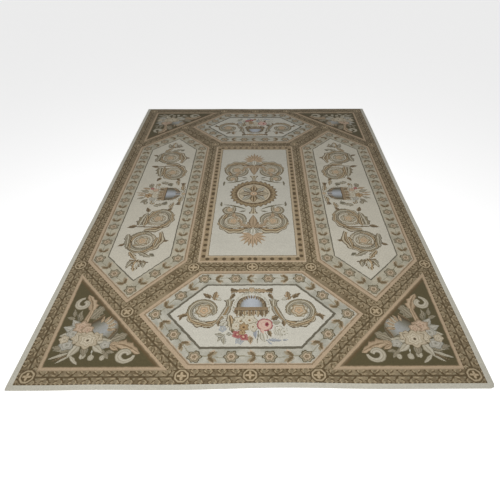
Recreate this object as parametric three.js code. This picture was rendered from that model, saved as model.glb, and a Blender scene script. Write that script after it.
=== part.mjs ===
// A large flat rug of tapestry-stitched wool, lying on a floor.
// It is one even sheet of cloth with a plain hem all round, so it is one solid.
// Units are millimetres and +Z is up. The origin is the middle of the underside.
// +X runs across the width and +Y along the length, away from the near end.
import * as THREE from "three";

// Driving dimensions of the cloth
const WIDTH = 2000;
const LENGTH = 2800;
const THICKNESS = 4.5;
const HEM_ROUND = 1.4; // how far the hem's upper and lower edges draw back from its outermost line

// Spacing of the lines that the sheet is built on
const COLUMN_STEP = 70;
const ROW_STEP = 70;
const CORNER_LINES = [9, 20]; // lines close to each edge, which carry the rounded corners
const CREST_LINES = [-1, -0.5, 0, 0.5, 1]; // lines over a long crease, in shares of its half width

// How far in from an edge its unevenness has died out
const BOW_FADE = 420;

// Places where an edge is drawn in: at is along the edge, reach is to each side of it
const BOWS = [
  { edge: "near", at: 130, reach: 460, depth: 8 },
  { edge: "near", at: -620, reach: 240, depth: 2.5 },
  { edge: "right", at: 60, reach: 1100, depth: 7 },
  { edge: "right", at: -820, reach: 380, depth: 2.5 },
  { edge: "left", at: -240, reach: 620, depth: 2.5 },
  { edge: "far", at: 220, reach: 560, depth: 3.5 },
  { edge: "far", at: -560, reach: 300, depth: 2 },
];

// Corners, by side of the width and side of the length, with the radius they are worn to
const CORNERS = [
  { across: 1, along: -1, radius: 20 },
  { across: -1, along: -1, radius: 6 },
  { across: 1, along: 1, radius: 9 },
  { across: -1, along: 1, radius: 9 },
];

// Creases that run right across the rug, where it was folded for storage
const CREASES = [
  { y: -132, halfWidth: 62, height: 4.2 },
  { y: -366, halfWidth: 66, height: 3.6 },
  { y: 420, halfWidth: 70, height: 2.2 },
];

// Short soft wrinkles: turn is the angle of the crest from the X axis, in degrees
const WRINKLES = [
  { x: 110, y: -500, turn: 24, halfLength: 230, halfWidth: 85, height: 4.4 },
  { x: 700, y: -585, turn: 12, halfLength: 260, halfWidth: 90, height: 4.6 },
  { x: -640, y: -330, turn: -8, halfLength: 240, halfWidth: 95, height: 3.2 },
  { x: -130, y: 560, turn: 10, halfLength: 220, halfWidth: 90, height: 2.6 },
];

/** A smooth hump: 1 at 0, falling to 0 at -1 and 1. */
function hump(t) {
  return Math.abs(t) < 1 ? 0.5 + 0.5 * Math.cos(Math.PI * t) : 0;
}

/** Line positions over a length: close at both ends, on every crease, and even in between. */
function linePositions(total, step, creases) {
  const half = total / 2;
  const fixed = [-half, half];
  for (const inset of CORNER_LINES) fixed.push(-half + inset, half - inset);
  for (const crease of creases) {
    for (const share of CREST_LINES) fixed.push(crease.y + share * crease.halfWidth);
  }
  fixed.sort((a, b) => a - b);
  const lines = [fixed[0]];
  for (let i = 1; i < fixed.length; i++) {
    const gap = fixed[i] - fixed[i - 1];
    const parts = Math.ceil(gap / step);
    for (let k = 1; k <= parts; k++) lines.push(fixed[i - 1] + (gap * k) / parts);
  }
  return lines;
}

/** How far an edge is drawn in at a place along it. */
function drawnIn(edge, at) {
  let depth = 0;
  for (const bow of BOWS) {
    if (bow.edge === edge) depth += bow.depth * hump((at - bow.at) / bow.reach);
  }
  return depth;
}

/** Share of an edge's unevenness that is left at a distance in from it. */
function fade(distance) {
  const t = THREE.MathUtils.clamp(1 - distance / BOW_FADE, 0, 1);
  return t * t * (3 - 2 * t);
}

/** Moves a point of the straight rectangle to its place in the uneven outline. */
function placeInPlan(x, y, drawBack) {
  const halfX = WIDTH / 2 - drawBack;
  const halfY = LENGTH / 2 - drawBack;
  let px = THREE.MathUtils.clamp(x, -halfX, halfX);
  let py = THREE.MathUtils.clamp(y, -halfY, halfY);
  for (const corner of CORNERS) {
    const a = (px * corner.across - (halfX - corner.radius)) / corner.radius;
    const b = (py * corner.along - (halfY - corner.radius)) / corner.radius;
    if (a > 0 && b > 0) {
      // a square's points are carried onto a quarter of a disc
      px = corner.across * (halfX - corner.radius + corner.radius * a * Math.sqrt(1 - (b * b) / 2));
      py = corner.along * (halfY - corner.radius + corner.radius * b * Math.sqrt(1 - (a * a) / 2));
    }
  }
  const inFromLeft = WIDTH / 2 + px;
  const inFromRight = WIDTH / 2 - px;
  const inFromNear = LENGTH / 2 + py;
  const inFromFar = LENGTH / 2 - py;
  const movedX = drawnIn("left", y) * fade(inFromLeft) - drawnIn("right", y) * fade(inFromRight);
  const movedY = drawnIn("near", x) * fade(inFromNear) - drawnIn("far", x) * fade(inFromFar);
  return [px + movedX, py + movedY];
}

/** How far the cloth stands off the floor at a place: 0 where it lies flat. */
function lift(x, y) {
  let height = 0;
  for (const crease of CREASES) {
    height += crease.height * hump((y - crease.y) / crease.halfWidth) * hump(x / (0.85 * WIDTH));
  }
  for (const wrinkle of WRINKLES) {
    const turn = THREE.MathUtils.degToRad(wrinkle.turn);
    const along = (x - wrinkle.x) * Math.cos(turn) + (y - wrinkle.y) * Math.sin(turn);
    const across = (y - wrinkle.y) * Math.cos(turn) - (x - wrinkle.x) * Math.sin(turn);
    height += wrinkle.height * hump(along / wrinkle.halfLength) * hump(across / wrinkle.halfWidth);
  }
  return height;
}

/** The sheet: a thin box of many cells, whose points are laid one by one. */
function rugGeometry() {
  const columns = linePositions(WIDTH, COLUMN_STEP, []);
  const rows = linePositions(LENGTH, ROW_STEP, CREASES);
  const columnCells = columns.length - 1;
  const rowCells = rows.length - 1;
  const layers = 2; // the rim has an upper and a lower half, so that the hem can be round
  const geometry = new THREE.BoxGeometry(WIDTH, LENGTH, THICKNESS, columnCells, rowCells, layers);
  const point = geometry.getAttribute("position");
  for (let i = 0; i < point.count; i++) {
    const x = columns[Math.round((point.getX(i) / WIDTH + 0.5) * columnCells)];
    const y = rows[Math.round((point.getY(i) / LENGTH + 0.5) * rowCells)];
    const layer = Math.sign(Math.round((point.getZ(i) / THICKNESS) * layers)); // -1, 0 or 1
    const [px, py] = placeInPlan(x, y, layer === 0 ? 0 : HEM_ROUND);
    point.setXYZ(i, px, py, lift(px, py) + (THICKNESS * (1 + layer)) / 2);
  }
  geometry.computeVertexNormals();
  return geometry;
}

const wool = new THREE.MeshStandardMaterial({ color: 0xa3967b, roughness: 0.95, metalness: 0 });

const wovenRug = new THREE.Mesh(rugGeometry(), wool);
wovenRug.name = "woven_rug";

const rug = new THREE.Group();
rug.name = "rug";
rug.add(wovenRug);

export default rug;
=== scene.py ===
"""A large flat rug of tapestry-stitched wool, lying on a pale floor.

The rug is one sheet of cloth with a plain hem. Its panelled design is stitched by node materials, one for
each kind of panel, that read the sheet's own map of the design in metres.
"""

import logging
import math
from dataclasses import dataclass
from enum import Enum

import bmesh
import bpy
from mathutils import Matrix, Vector, noise


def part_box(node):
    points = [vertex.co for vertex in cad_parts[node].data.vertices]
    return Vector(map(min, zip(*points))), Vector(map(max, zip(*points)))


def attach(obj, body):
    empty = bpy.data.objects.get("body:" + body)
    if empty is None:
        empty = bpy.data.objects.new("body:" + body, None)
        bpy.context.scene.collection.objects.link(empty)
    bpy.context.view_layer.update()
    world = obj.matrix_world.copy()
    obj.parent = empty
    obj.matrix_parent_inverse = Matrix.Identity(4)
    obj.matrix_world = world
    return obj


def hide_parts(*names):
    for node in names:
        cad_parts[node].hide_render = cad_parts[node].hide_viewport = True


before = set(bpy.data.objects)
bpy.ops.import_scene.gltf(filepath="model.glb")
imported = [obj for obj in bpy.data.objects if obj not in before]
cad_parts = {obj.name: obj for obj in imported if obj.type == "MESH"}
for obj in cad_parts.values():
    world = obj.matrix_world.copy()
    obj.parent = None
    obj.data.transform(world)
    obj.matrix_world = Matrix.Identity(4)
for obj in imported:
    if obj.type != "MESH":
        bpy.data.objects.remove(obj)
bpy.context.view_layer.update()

LOG = logging.getLogger("rug")

# The half width of a shape at its tips, and a small shift across it. They keep every stitch beyond a tip
# outside the shape, also one that lies just on its axis.
TIP = 1e-5
OFF_AXIS = 0.0137

Pair = tuple[float, float]
Triple = tuple[float, float, float]
Colour = tuple[float, float, float, float]
Points = tuple[Pair, ...]
Stops = tuple[tuple[float, Colour], ...]
Socket = bpy.types.NodeSocket
Paint = Socket | Colour



def dye(red: int, green: int, blue: int) -> Colour:
    """Gives a wool colour in linear light.

    Args:
        red: Red as a screen shows it, from 0 to 255.
        green: Green, likewise.
        blue: Blue, likewise.

    Returns:
        The linear colour, opaque.
    """

    def linear(value: int) -> float:
        """One channel in linear light."""
        share = value / 255
        return share / 12.92 if share <= 0.04045 else ((share + 0.055) / 1.055) ** 2.4

    return (linear(red), linear(green), linear(blue), 1.0)


class Wool(Enum):
    """The wools that the rug is stitched in."""

    IVORY = dye(213, 209, 194)
    CREAM = dye(203, 199, 184)
    BEIGE = dye(186, 180, 163)
    PEACH = dye(187, 163, 133)
    APRICOT = dye(212, 182, 150)
    TAN = dye(165, 143, 112)
    DRAB = dye(126, 109, 82)
    BROWN = dye(104, 86, 60)
    UMBER = dye(82, 66, 44)
    SLATE = dye(106, 100, 84)
    SAGE = dye(152, 146, 124)
    FERN = dye(122, 114, 90)
    MIST = dye(178, 177, 166)
    SKY = dye(170, 174, 178)
    STEEL = dye(132, 135, 139)
    ROSE = dye(184, 128, 118)
    CRIMSON = dye(146, 74, 76)


class Term:
    """A number that varies over the cloth: an output socket with Python's arithmetic on it."""

    def __init__(self, shop: "NodeShop", socket: Socket) -> None:
        """Keeps the socket and the maker of its tree's nodes."""
        self.shop = shop
        self.socket = socket

    def __add__(self, other: "Term | float") -> "Term":
        """The sum."""
        return self.shop.math("ADD", self, other)

    def __sub__(self, other: "Term | float") -> "Term":
        """The difference."""
        return self.shop.math("SUBTRACT", self, other)

    def __rsub__(self, other: "Term | float") -> "Term":
        """The difference, with the number first."""
        return self.shop.math("SUBTRACT", other, self)

    def __mul__(self, other: "Term | float") -> "Term":
        """The product."""
        return self.shop.math("MULTIPLY", self, other)

    def __truediv__(self, other: "Term | float") -> "Term":
        """The quotient."""
        return self.shop.math("DIVIDE", self, other)

    def __lt__(self, other: "Term | float") -> "Term":
        """1 where this is the smaller, else 0."""
        return self.shop.math("LESS_THAN", self, other)

    def __gt__(self, other: "Term | float") -> "Term":
        """1 where this is the larger, else 0."""
        return self.shop.math("GREATER_THAN", self, other)

    def __abs__(self) -> "Term":
        """The size without the sign."""
        return self.shop.math("ABSOLUTE", self)


class Look(Enum):
    """How a ramp goes from colour to colour, by its entry in a node's settings."""

    SMOOTH = "stops"
    STEPPED = "bands"


class NodeShop:
    """Makes the nodes of one tree."""

    def __init__(self, tree: bpy.types.NodeTree) -> None:
        """Starts on an empty tree."""
        self.tree = tree
        tree.nodes.clear()

    def node(self, kind: str, settings: dict | None = None, inputs: dict | None = None) -> bpy.types.Node:
        """Makes any node.

        Args:
            kind: The node's type, without the ShaderNode that it starts with.
            settings: The node's own properties. The entries stops and bands fill a smooth ramp and a
                stepped one, and points fills a curve.
            inputs: Values, terms or sockets for its inputs, by index or name.

        Returns:
            The node.
        """
        made = self.tree.nodes.new("ShaderNode" + kind)
        for key, value in (settings or {}).items():
            if key == Look.SMOOTH.value:
                self._fill_ramp(made.color_ramp, value)
            elif key == Look.STEPPED.value:
                made.color_ramp.interpolation = "CONSTANT"
                self._fill_ramp(made.color_ramp, value)
            elif key == "points":
                self._fill_curve(made.mapping, value)
            else:
                setattr(made, key, value)
        for key, value in (inputs or {}).items():
            source = value.socket if isinstance(value, Term) else value
            if isinstance(source, Socket):
                self.tree.links.new(source, made.inputs[key])
            else:
                made.inputs[key].default_value = source
        return made

    def _fill_ramp(self, ramp: bpy.types.ColorRamp, stops: Stops) -> None:
        """Puts colour stops on a ramp.

        Args:
            ramp: The ramp, which has two stops when it is new.
            stops: Place and colour of each stop, in order.
        """
        ramp.elements[0].position = stops[0][0]
        ramp.elements[1].position = stops[-1][0]
        for place, _ in stops[1:-1]:
            ramp.elements.new(place)
        for element, (_, colour) in zip(ramp.elements, stops):
            element.color = colour

    def _fill_curve(self, mapping: bpy.types.CurveMapping, points: Points) -> None:
        """Puts points on a curve, which stays level beyond its ends.

        Args:
            mapping: The curve, which has two points when it is new.
            points: Place and height of each point, in order.
        """
        mapping.use_clip = False
        mapping.extend = "HORIZONTAL"
        curve = mapping.curves[0]
        curve.points[0].location = points[0]
        curve.points[1].location = points[-1]
        for place, height in points[1:-1]:
            curve.points.new(place, height)
        for point in curve.points:
            point.handle_type = "VECTOR"
        mapping.update()

    def math(self, operation: str, *values: "Term | float") -> Term:
        """Makes a Math node.

        Args:
            operation: Its operation.
            values: Its inputs, in order.

        Returns:
            Its result.
        """
        made = self.node("Math", {"operation": operation}, dict(enumerate(values)))
        return Term(self, made.outputs[0])

    def vector(self, operation: str, *values: Socket | Triple) -> Socket:
        """Makes a Vector Math node.

        Args:
            operation: Its operation.
            values: Its inputs, in order.

        Returns:
            Its vector.
        """
        made = self.node("VectorMath", {"operation": operation}, dict(enumerate(values)))
        return made.outputs[0]

    def length(self, vector: Socket) -> Term:
        """The length of a vector."""
        made = self.node("VectorMath", {"operation": "LENGTH"}, {0: vector})
        return Term(self, made.outputs["Value"])

    def split(self, vector: Socket) -> tuple[Term, Term]:
        """The first two parts of a vector, as dot products, which take up none of the shader's memory."""
        return self.dot(vector, (1.0, 0.0, 0.0)), self.dot(vector, (0.0, 1.0, 0.0))

    def dot(self, vector: Socket, along: Socket | Triple) -> Term:
        """The dot product of two vectors."""
        made = self.node("VectorMath", {"operation": "DOT_PRODUCT"}, {0: vector, 1: along})
        return Term(self, made.outputs["Value"])

    def span(self, at: Term, low: float, high: float) -> Term:
        """Share of the way from one distance to another."""
        return (at - low) / (high - low)

    def join(self, x: "Term | float", y: "Term | float") -> Socket:
        """A flat vector from two numbers."""
        return self.node("CombineXYZ", inputs={0: x, 1: y}).outputs[0]

    def curve(self, at: Term, points: Points) -> Term:
        """The height of a curve at a place."""
        made = self.node("FloatCurve", {"points": points}, {"Value": at})
        return Term(self, made.outputs[0])

    def ramp(self, at: Term, stops: Stops, look: Look = Look.SMOOTH) -> bpy.types.Node:
        """A colour ramp, read at a place."""
        return self.node("ValToRGB", {look.value: stops}, {0: at})

    def blend(self, share: Term, first: Paint, second: Paint) -> Socket:
        """Mixes two colours.

        Args:
            share: How much of the second shows, from 0 to 1.
            first: Colour or socket.
            second: Colour or socket.

        Returns:
            The mixed colour.
        """
        made = self.node("Mix", {"data_type": "RGBA"}, {0: share, 6: first, 7: second})
        return made.outputs[2]

    def noise(self, vector: Socket, scale: float, detail: float = 2.0) -> bpy.types.Node:
        """A flat, cloudy noise."""
        inputs = {"Vector": vector, "Scale": scale, "Detail": detail}
        return self.node("TexNoise", {"noise_dimensions": "2D"}, inputs)

    def cloud(self, vector: Socket, scale: float, detail: float = 2.0) -> Term:
        """A flat, cloudy noise's share, from 0 to 1."""
        return Term(self, self.noise(vector, scale, detail).outputs[0])

    def choose(self, share: Term, first: Socket, second: Socket) -> Socket:
        """Takes the second vector where share is 1, and the first where it is 0."""
        made = self.node("Mix", {"data_type": "VECTOR"}, {0: share, 4: first, 5: second})
        return made.outputs[1]

    def local(self, vector: Socket, at: Pair, turn: float, size: Pair) -> Socket:
        """Gives coordinates on a motif's own axes.

        Args:
            vector: Coordinates on the cloth.
            at: The motif's origin.
            turn: The angle of its first axis, in degrees.
            size: The lengths that count as 1 along its axes.

        Returns:
            The local coordinates.
        """
        moved = self.vector("SUBTRACT", vector, (*at, 0.0))
        along, across = axes(turn, *size)
        return self.join(self.dot(moved, along), self.dot(moved, across))


def axes(turn: float, length: float, width: float) -> tuple[Triple, Triple]:
    """Gives the two vectors whose dot products with a place are its local coordinates.

    Args:
        turn: The angle of the first axis, in degrees.
        length: The length that counts as 1 along it.
        width: The length that counts as 1 across it.

    Returns:
        The vectors.
    """
    cosine, sine = math.cos(math.radians(turn)), math.sin(math.radians(turn))
    return (cosine / length, sine / length, 0.0), (-sine / width, cosine / width, 0.0)


def new_material(name: str) -> bpy.types.Material:
    """Makes a material with nodes.

    Args:
        name: Its name.

    Returns:
        The material.
    """
    material = bpy.data.materials.new(name)
    material.use_nodes = True
    return material


def clear(colour: Colour) -> Colour:
    """The same colour, see-through, for the end of a motif's ramp."""
    return (*colour[:3], 0.0)


@dataclass(frozen=True)
class Shading:
    """The wools of a motif, from one side of it to the other.

    Attributes:
        light: The side that the light is drawn on.
        mid: Next to the vein.
        shade: The other side.
        vein: The line along the middle.
        edge: The outline.
        outline: The outline's share of the way across, on each side.
    """

    light: Wool
    mid: Wool
    shade: Wool
    vein: Wool
    edge: Wool
    outline: float = 0.07

    def across(self) -> Stops:
        """The ramp from one edge of the motif to the other."""
        edge, line = self.edge.value, self.outline
        return (
            (0.0, clear(edge)),
            (0.01, edge),
            (line, edge),
            (line + 0.04, self.light.value),
            (0.36, self.mid.value),
            (0.47, self.vein.value),
            (0.53, self.vein.value),
            (0.60, self.mid.value),
            (0.96 - line, self.shade.value),
            (1.0 - line, edge),
            (0.99, edge),
            (1.0, clear(edge)),
        )

    def outward(self) -> Stops:
        """The ramp from the middle of a round motif to its rim."""
        edge, line = self.edge.value, self.outline
        return (
            (0.0, self.vein.value),
            (0.16, self.vein.value),
            (0.22, self.light.value),
            (0.38, self.shade.value),
            (0.44, self.mid.value),
            (0.94 - line, self.light.value),
            (0.99 - line, edge),
            (0.995, edge),
            (1.0, clear(edge)),
        )


GREY_LEAF = Shading(Wool.MIST, Wool.BEIGE, Wool.SAGE, Wool.FERN, Wool.SLATE)
PALE_LEAF = Shading(Wool.IVORY, Wool.CREAM, Wool.BEIGE, Wool.SAGE, Wool.FERN)
GOLD_LEAF = Shading(Wool.PEACH, Wool.TAN, Wool.DRAB, Wool.BROWN, Wool.BROWN)
PEACH_LEAF = Shading(Wool.APRICOT, Wool.PEACH, Wool.TAN, Wool.DRAB, Wool.DRAB)
BROWN_BUD = Shading(Wool.TAN, Wool.DRAB, Wool.BROWN, Wool.UMBER, Wool.UMBER)
FERN_LEAF = Shading(Wool.SAGE, Wool.FERN, Wool.SLATE, Wool.SLATE, Wool.SLATE)
BLUE_LEAF = Shading(Wool.IVORY, Wool.SKY, Wool.STEEL, Wool.STEEL, Wool.STEEL)
PEACH_BLOOM = Shading(Wool.APRICOT, Wool.PEACH, Wool.DRAB, Wool.CREAM, Wool.DRAB)
BLUE_BLOOM = Shading(Wool.SKY, Wool.MIST, Wool.STEEL, Wool.CREAM, Wool.STEEL)
RED_BLOOM = Shading(Wool.ROSE, Wool.CRIMSON, Wool.CRIMSON, Wool.APRICOT, Wool.CRIMSON)


@dataclass(frozen=True)
class Rings:
    """The wools of a motif, ring by ring or stripe by stripe.

    Attributes:
        stops: Place and colour of each, from the middle of a round motif to its rim, or across a long one.
    """

    stops: Stops

    def outward(self) -> Stops:
        """The ramp from the middle to the rim, which is see-through beyond it."""
        return (*self.stops, (0.995, self.stops[-1][1]), (1.0, clear(self.stops[-1][1])))

    def across(self) -> Stops:
        """The ramp from one edge to the other, which is see-through beyond both."""
        first, last = self.stops[0][1], self.stops[-1][1]
        return ((0.0, clear(first)), (0.01, first), *self.stops[1:], (0.99, last), (1.0, clear(last)))


def rings(*table: tuple[float, int, int, int]) -> Rings:
    """Makes rings of plain colours.

    Args:
        table: Each ring's place from the middle out, from 0 to 1, with its red, green and blue.

    Returns:
        The rings.
    """
    return Rings(tuple((at, dye(red, green, blue)) for at, red, green, blue in table))


Wools = Shading | Rings

# A row of a motif table. Its columns are outline, wools, x, y, turn, length, width and, for a shape whose
# tip is bent, bend. All but the first two are a Spot's.
Straight = tuple[Enum, Wools, float, float, float, float, float]
Bent = tuple[Enum, Wools, float, float, float, float, float, float]
Motif = Straight | Bent

MEDALLION_DISC = rings(
    (0.0, 116, 98, 68),
    (0.35, 106, 88, 58),
    (0.60, 92, 76, 48),
    (0.67, 184, 166, 135),
    (0.78, 190, 173, 142),
    (0.85, 110, 92, 64),
    (0.96, 90, 74, 48),
)
QUATREFOIL = rings(
    (0.0, 160, 141, 110),
    (0.4, 190, 171, 140),
    (0.85, 184, 164, 132),
)
GUARD_ROSETTE = rings(
    (0.0, 176, 156, 130),
    (0.08, 160, 140, 112),
    (0.15, 122, 104, 77),
    (0.26, 128, 110, 82),
    (0.32, 194, 174, 148),
    (0.50, 190, 172, 146),
    (0.58, 114, 100, 73),
    (0.66, 124, 110, 82),
    (0.71, 178, 168, 145),
    (0.79, 168, 156, 131),
    (0.85, 96, 86, 62),
)
SCROLL = rings(
    (0.0, 84, 71, 47),
    (0.09, 88, 75, 50),
    (0.15, 168, 162, 143),
    (0.32, 148, 139, 117),
    (0.40, 96, 82, 56),
    (0.48, 200, 193, 173),
    (0.60, 190, 182, 160),
    (0.70, 116, 103, 77),
    (0.86, 158, 147, 121),
    (0.91, 84, 70, 45),
)
MISTY_SCROLL = rings(
    (0.0, 110, 100, 78),
    (0.12, 172, 169, 155),
    (0.38, 194, 190, 175),
    (0.52, 142, 138, 122),
    (0.62, 186, 182, 167),
    (0.84, 164, 160, 145),
    (0.92, 112, 101, 78),
)
ACANTHUS = rings(
    (0.0, 88, 72, 46),
    (0.10, 92, 75, 48),
    (0.17, 174, 152, 117),
    (0.32, 196, 174, 140),
    (0.43, 106, 87, 58),
    (0.52, 86, 69, 43),
    (0.60, 184, 168, 138),
    (0.78, 198, 189, 166),
    (0.88, 110, 92, 63),
    (0.94, 88, 71, 45),
)
SHEATH = rings(
    (0.0, 110, 96, 70),
    (0.08, 110, 96, 70),
    (0.16, 150, 144, 126),
    (0.28, 200, 192, 172),
    (0.38, 122, 102, 72),
    (0.55, 166, 142, 104),
    (0.64, 110, 90, 62),
    (0.74, 182, 176, 158),
    (0.92, 116, 104, 80),
)
VASE = rings(
    (0.0, 84, 71, 49),
    (0.08, 104, 94, 72),
    (0.18, 118, 114, 100),
    (0.30, 148, 150, 150),
    (0.44, 174, 178, 182),
    (0.60, 176, 180, 184),
    (0.74, 144, 145, 142),
    (0.85, 116, 108, 90),
    (0.92, 98, 84, 60),
    (0.97, 80, 66, 44),
)
BOWL = rings(
    (0.0, 180, 185, 190),
    (0.40, 188, 192, 196),
    (0.72, 174, 179, 184),
    (0.82, 150, 151, 148),
    (0.87, 120, 109, 88),
    (0.92, 142, 126, 98),
    (0.96, 84, 70, 46),
)
FAN = rings(
    (0.0, 94, 88, 68),
    (0.06, 94, 88, 68),
    (0.14, 158, 149, 126),
    (0.26, 118, 107, 84),
    (0.36, 166, 156, 134),
    (0.47, 114, 103, 80),
    (0.58, 172, 162, 140),
    (0.70, 120, 109, 86),
    (0.84, 158, 149, 126),
    (0.94, 88, 82, 62),
)
URN = rings(
    (0.0, 84, 72, 50),
    (0.07, 122, 112, 90),
    (0.22, 146, 141, 126),
    (0.40, 166, 167, 164),
    (0.60, 160, 159, 152),
    (0.80, 124, 120, 104),
    (0.94, 86, 74, 52),
)
VOLUTE = rings(
    (0.0, 104, 94, 70),
    (0.06, 116, 106, 82),
    (0.14, 180, 172, 152),
    (0.38, 200, 192, 172),
    (0.52, 154, 144, 122),
    (0.66, 192, 184, 164),
    (0.88, 166, 157, 134),
    (0.95, 102, 92, 68),
)
PEACH_ACANTHUS = rings(
    (0.0, 112, 94, 68),
    (0.06, 120, 101, 74),
    (0.14, 178, 155, 126),
    (0.36, 196, 174, 145),
    (0.45, 140, 119, 90),
    (0.52, 128, 107, 79),
    (0.60, 182, 160, 131),
    (0.84, 166, 144, 116),
    (0.95, 108, 91, 65),
)
WHEEL = rings(
    (0.0, 208, 201, 183),
    (0.50, 198, 189, 168),
    (0.55, 108, 93, 65),
    (0.60, 208, 202, 184),
    (0.70, 194, 184, 162),
    (0.75, 102, 87, 60),
    (0.82, 202, 194, 173),
    (0.93, 172, 158, 130),
    (0.97, 94, 79, 52),
)
LAYERED_ROSE = rings(
    (0.0, 78, 66, 46),
    (0.11, 104, 90, 66),
    (0.17, 202, 189, 164),
    (0.31, 212, 201, 178),
    (0.37, 152, 136, 108),
    (0.42, 198, 186, 162),
    (0.58, 208, 197, 174),
    (0.64, 148, 133, 106),
    (0.70, 194, 181, 156),
    (0.90, 186, 172, 146),
    (0.96, 116, 102, 78),
)
PEACH_ROSE = rings(
    (0.0, 142, 112, 88),
    (0.16, 186, 158, 133),
    (0.32, 204, 179, 155),
    (0.38, 152, 125, 99),
    (0.46, 200, 176, 151),
    (0.70, 194, 170, 145),
    (0.78, 150, 126, 99),
    (0.86, 188, 166, 141),
    (0.95, 122, 103, 77),
)
PALE_BLOOM = rings(
    (0.0, 120, 116, 100),
    (0.24, 176, 171, 156),
    (0.50, 192, 187, 174),
    (0.60, 146, 139, 122),
    (0.72, 184, 179, 165),
    (0.90, 160, 158, 146),
    (0.96, 110, 104, 86),
)
SCROLL_FLOWER = rings(
    (0.0, 206, 198, 180),
    (0.10, 190, 172, 144),
    (0.16, 132, 110, 80),
    (0.24, 198, 174, 142),
    (0.46, 200, 170, 136),
    (0.56, 140, 118, 86),
    (0.62, 200, 190, 168),
    (0.78, 184, 164, 134),
    (0.88, 146, 126, 96),
    (0.94, 128, 112, 84),
)
ROSE_HEART = rings(
    (0.0, 84, 48, 42),
    (0.30, 112, 50, 54),
    (0.62, 150, 70, 76),
    (0.9, 168, 92, 94),
)
BLUSH_ROSE = rings(
    (0.0, 206, 178, 160),
    (0.30, 214, 186, 168),
    (0.45, 200, 160, 146),
    (0.55, 214, 184, 166),
    (0.80, 208, 176, 158),
    (0.88, 160, 80, 86),
    (0.95, 146, 74, 78),
)
CREAM_BLOOM = rings(
    (0.0, 122, 98, 66),
    (0.14, 140, 116, 82),
    (0.20, 204, 192, 168),
    (0.40, 212, 204, 184),
    (0.47, 150, 138, 112),
    (0.53, 208, 200, 180),
    (0.86, 196, 188, 166),
    (0.93, 138, 126, 100),
)
GOLD_BLOOM = rings(
    (0.0, 86, 66, 42),
    (0.22, 110, 86, 56),
    (0.32, 190, 160, 120),
    (0.55, 172, 142, 104),
    (0.62, 112, 90, 60),
    (0.72, 196, 170, 132),
    (0.92, 124, 102, 72),
)


@dataclass(frozen=True)
class Spot:
    """Where a motif lies on the cloth, in metres and degrees.

    Attributes:
        x: Its origin across the rug.
        y: Its origin along the rug.
        turn: The angle of its axis from the X axis.
        length: Its length along the axis, or its radius.
        width: Its full width across the axis.
        bend: How far its tip is bent to the side.
    """

    x: float
    y: float
    turn: float
    length: float
    width: float
    bend: float = 0.0


def around(count: int, profile: Points) -> Points:
    """Repeats a rim's profile round one turn.

    Args:
        count: How many times.
        profile: Place from 0 to 1 and radius of each point of one repeat, which starts at 0.

    Returns:
        The points of the rim's curve.
    """
    points = [((lobe + share) / count, radius) for lobe in range(count) for share, radius in profile]
    return (*points, (1.0, profile[0][1]))


def scallops(count: int, low: float, high: float, lean: float = 0.5) -> Points:
    """Gives the rim of a lobed shape over one turn.

    Args:
        count: How many lobes.
        low: The radius between lobes.
        high: The radius at their tips.
        lean: Where in each lobe the tip is, from 0 to 1.

    Returns:
        The points of the rim's curve.
    """
    return around(count, ((0.0, low), (lean, high)))


class Form(Enum):
    """Half widths of shapes along their axes, from base to tip."""

    LEAF = ((0.0, TIP), (0.06, 0.3), (0.2, 0.75), (0.38, 1.0), (0.6, 0.85), (0.85, 0.35), (1.0, TIP))
    BLADE = ((0.0, TIP), (0.1, 0.5), (0.45, 1.0), (0.8, 0.6), (1.0, TIP))
    BUD = ((0.0, TIP), (0.05, 0.4), (0.25, 0.55), (0.6, 1.0), (0.85, 0.85), (1.0, TIP))
    LOBED = (
        (0.0, TIP),
        (0.04, 0.35),
        (0.14, 0.9),
        (0.2, 0.6),
        (0.32, 1.0),
        (0.4, 0.62),
        (0.55, 0.88),
        (0.62, 0.5),
        (0.76, 0.6),
        (0.84, 0.3),
        (1.0, TIP),
    )
    STEM = ((0.0, TIP), (0.02, 1.0), (0.9, 0.7), (1.0, TIP))
    BAR = ((0.0, TIP), (0.01, 1.0), (0.99, 1.0), (1.0, TIP))
    DOME = (
        (0.0, TIP),
        (0.01, 1.0),
        (0.3, 0.99),
        (0.55, 0.90),
        (0.75, 0.74),
        (0.9, 0.50),
        (0.97, 0.28),
        (1.0, TIP),
    )
    CUP = ((0.0, TIP), (0.02, 0.82), (0.12, 1.0), (0.3, 0.72), (0.6, 0.62), (0.92, 0.42), (1.0, TIP))
    SHEATH = ((0.0, TIP), (0.02, 0.8), (0.15, 0.75), (0.4, 1.0), (0.7, 0.86), (0.9, 0.45), (1.0, TIP))
    FLAME = (
        (0.0, TIP),
        (0.05, 0.5),
        (0.22, 0.7),
        (0.30, 1.0),
        (0.38, 0.6),
        (0.54, 0.75),
        (0.60, 0.92),
        (0.68, 0.45),
        (0.82, 0.5),
        (1.0, TIP),
    )
    BELL = (
        (0.0, TIP),
        (0.02, 0.9),
        (0.12, 1.0),
        (0.22, 0.62),
        (0.5, 0.42),
        (0.8, 0.3),
        (0.95, 0.2),
        (1.0, TIP),
    )


FRILL_LOBES = 28


class Rim(Enum):
    """Rims of round flowers, over one turn."""

    ROUND = scallops(1, 1.0, 1.0)
    CROSS = around(4, ((0.0, 1.0), (0.18, 0.94), (0.32, 0.55), (0.5, 0.40), (0.68, 0.55), (0.82, 0.94)))
    STAR = around(6, ((0.0, 1.0), (0.14, 0.94), (0.5, 0.72), (0.86, 0.94)))
    OCTAGON = scallops(8, 0.93, 1.0)
    FIVE = scallops(5, 0.74, 1.0)
    SIX = scallops(6, 0.70, 1.0)
    EIGHT = scallops(8, 0.83, 1.0)
    FRILL = scallops(FRILL_LOBES, 0.90, 1.0, 0.65)


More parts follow.
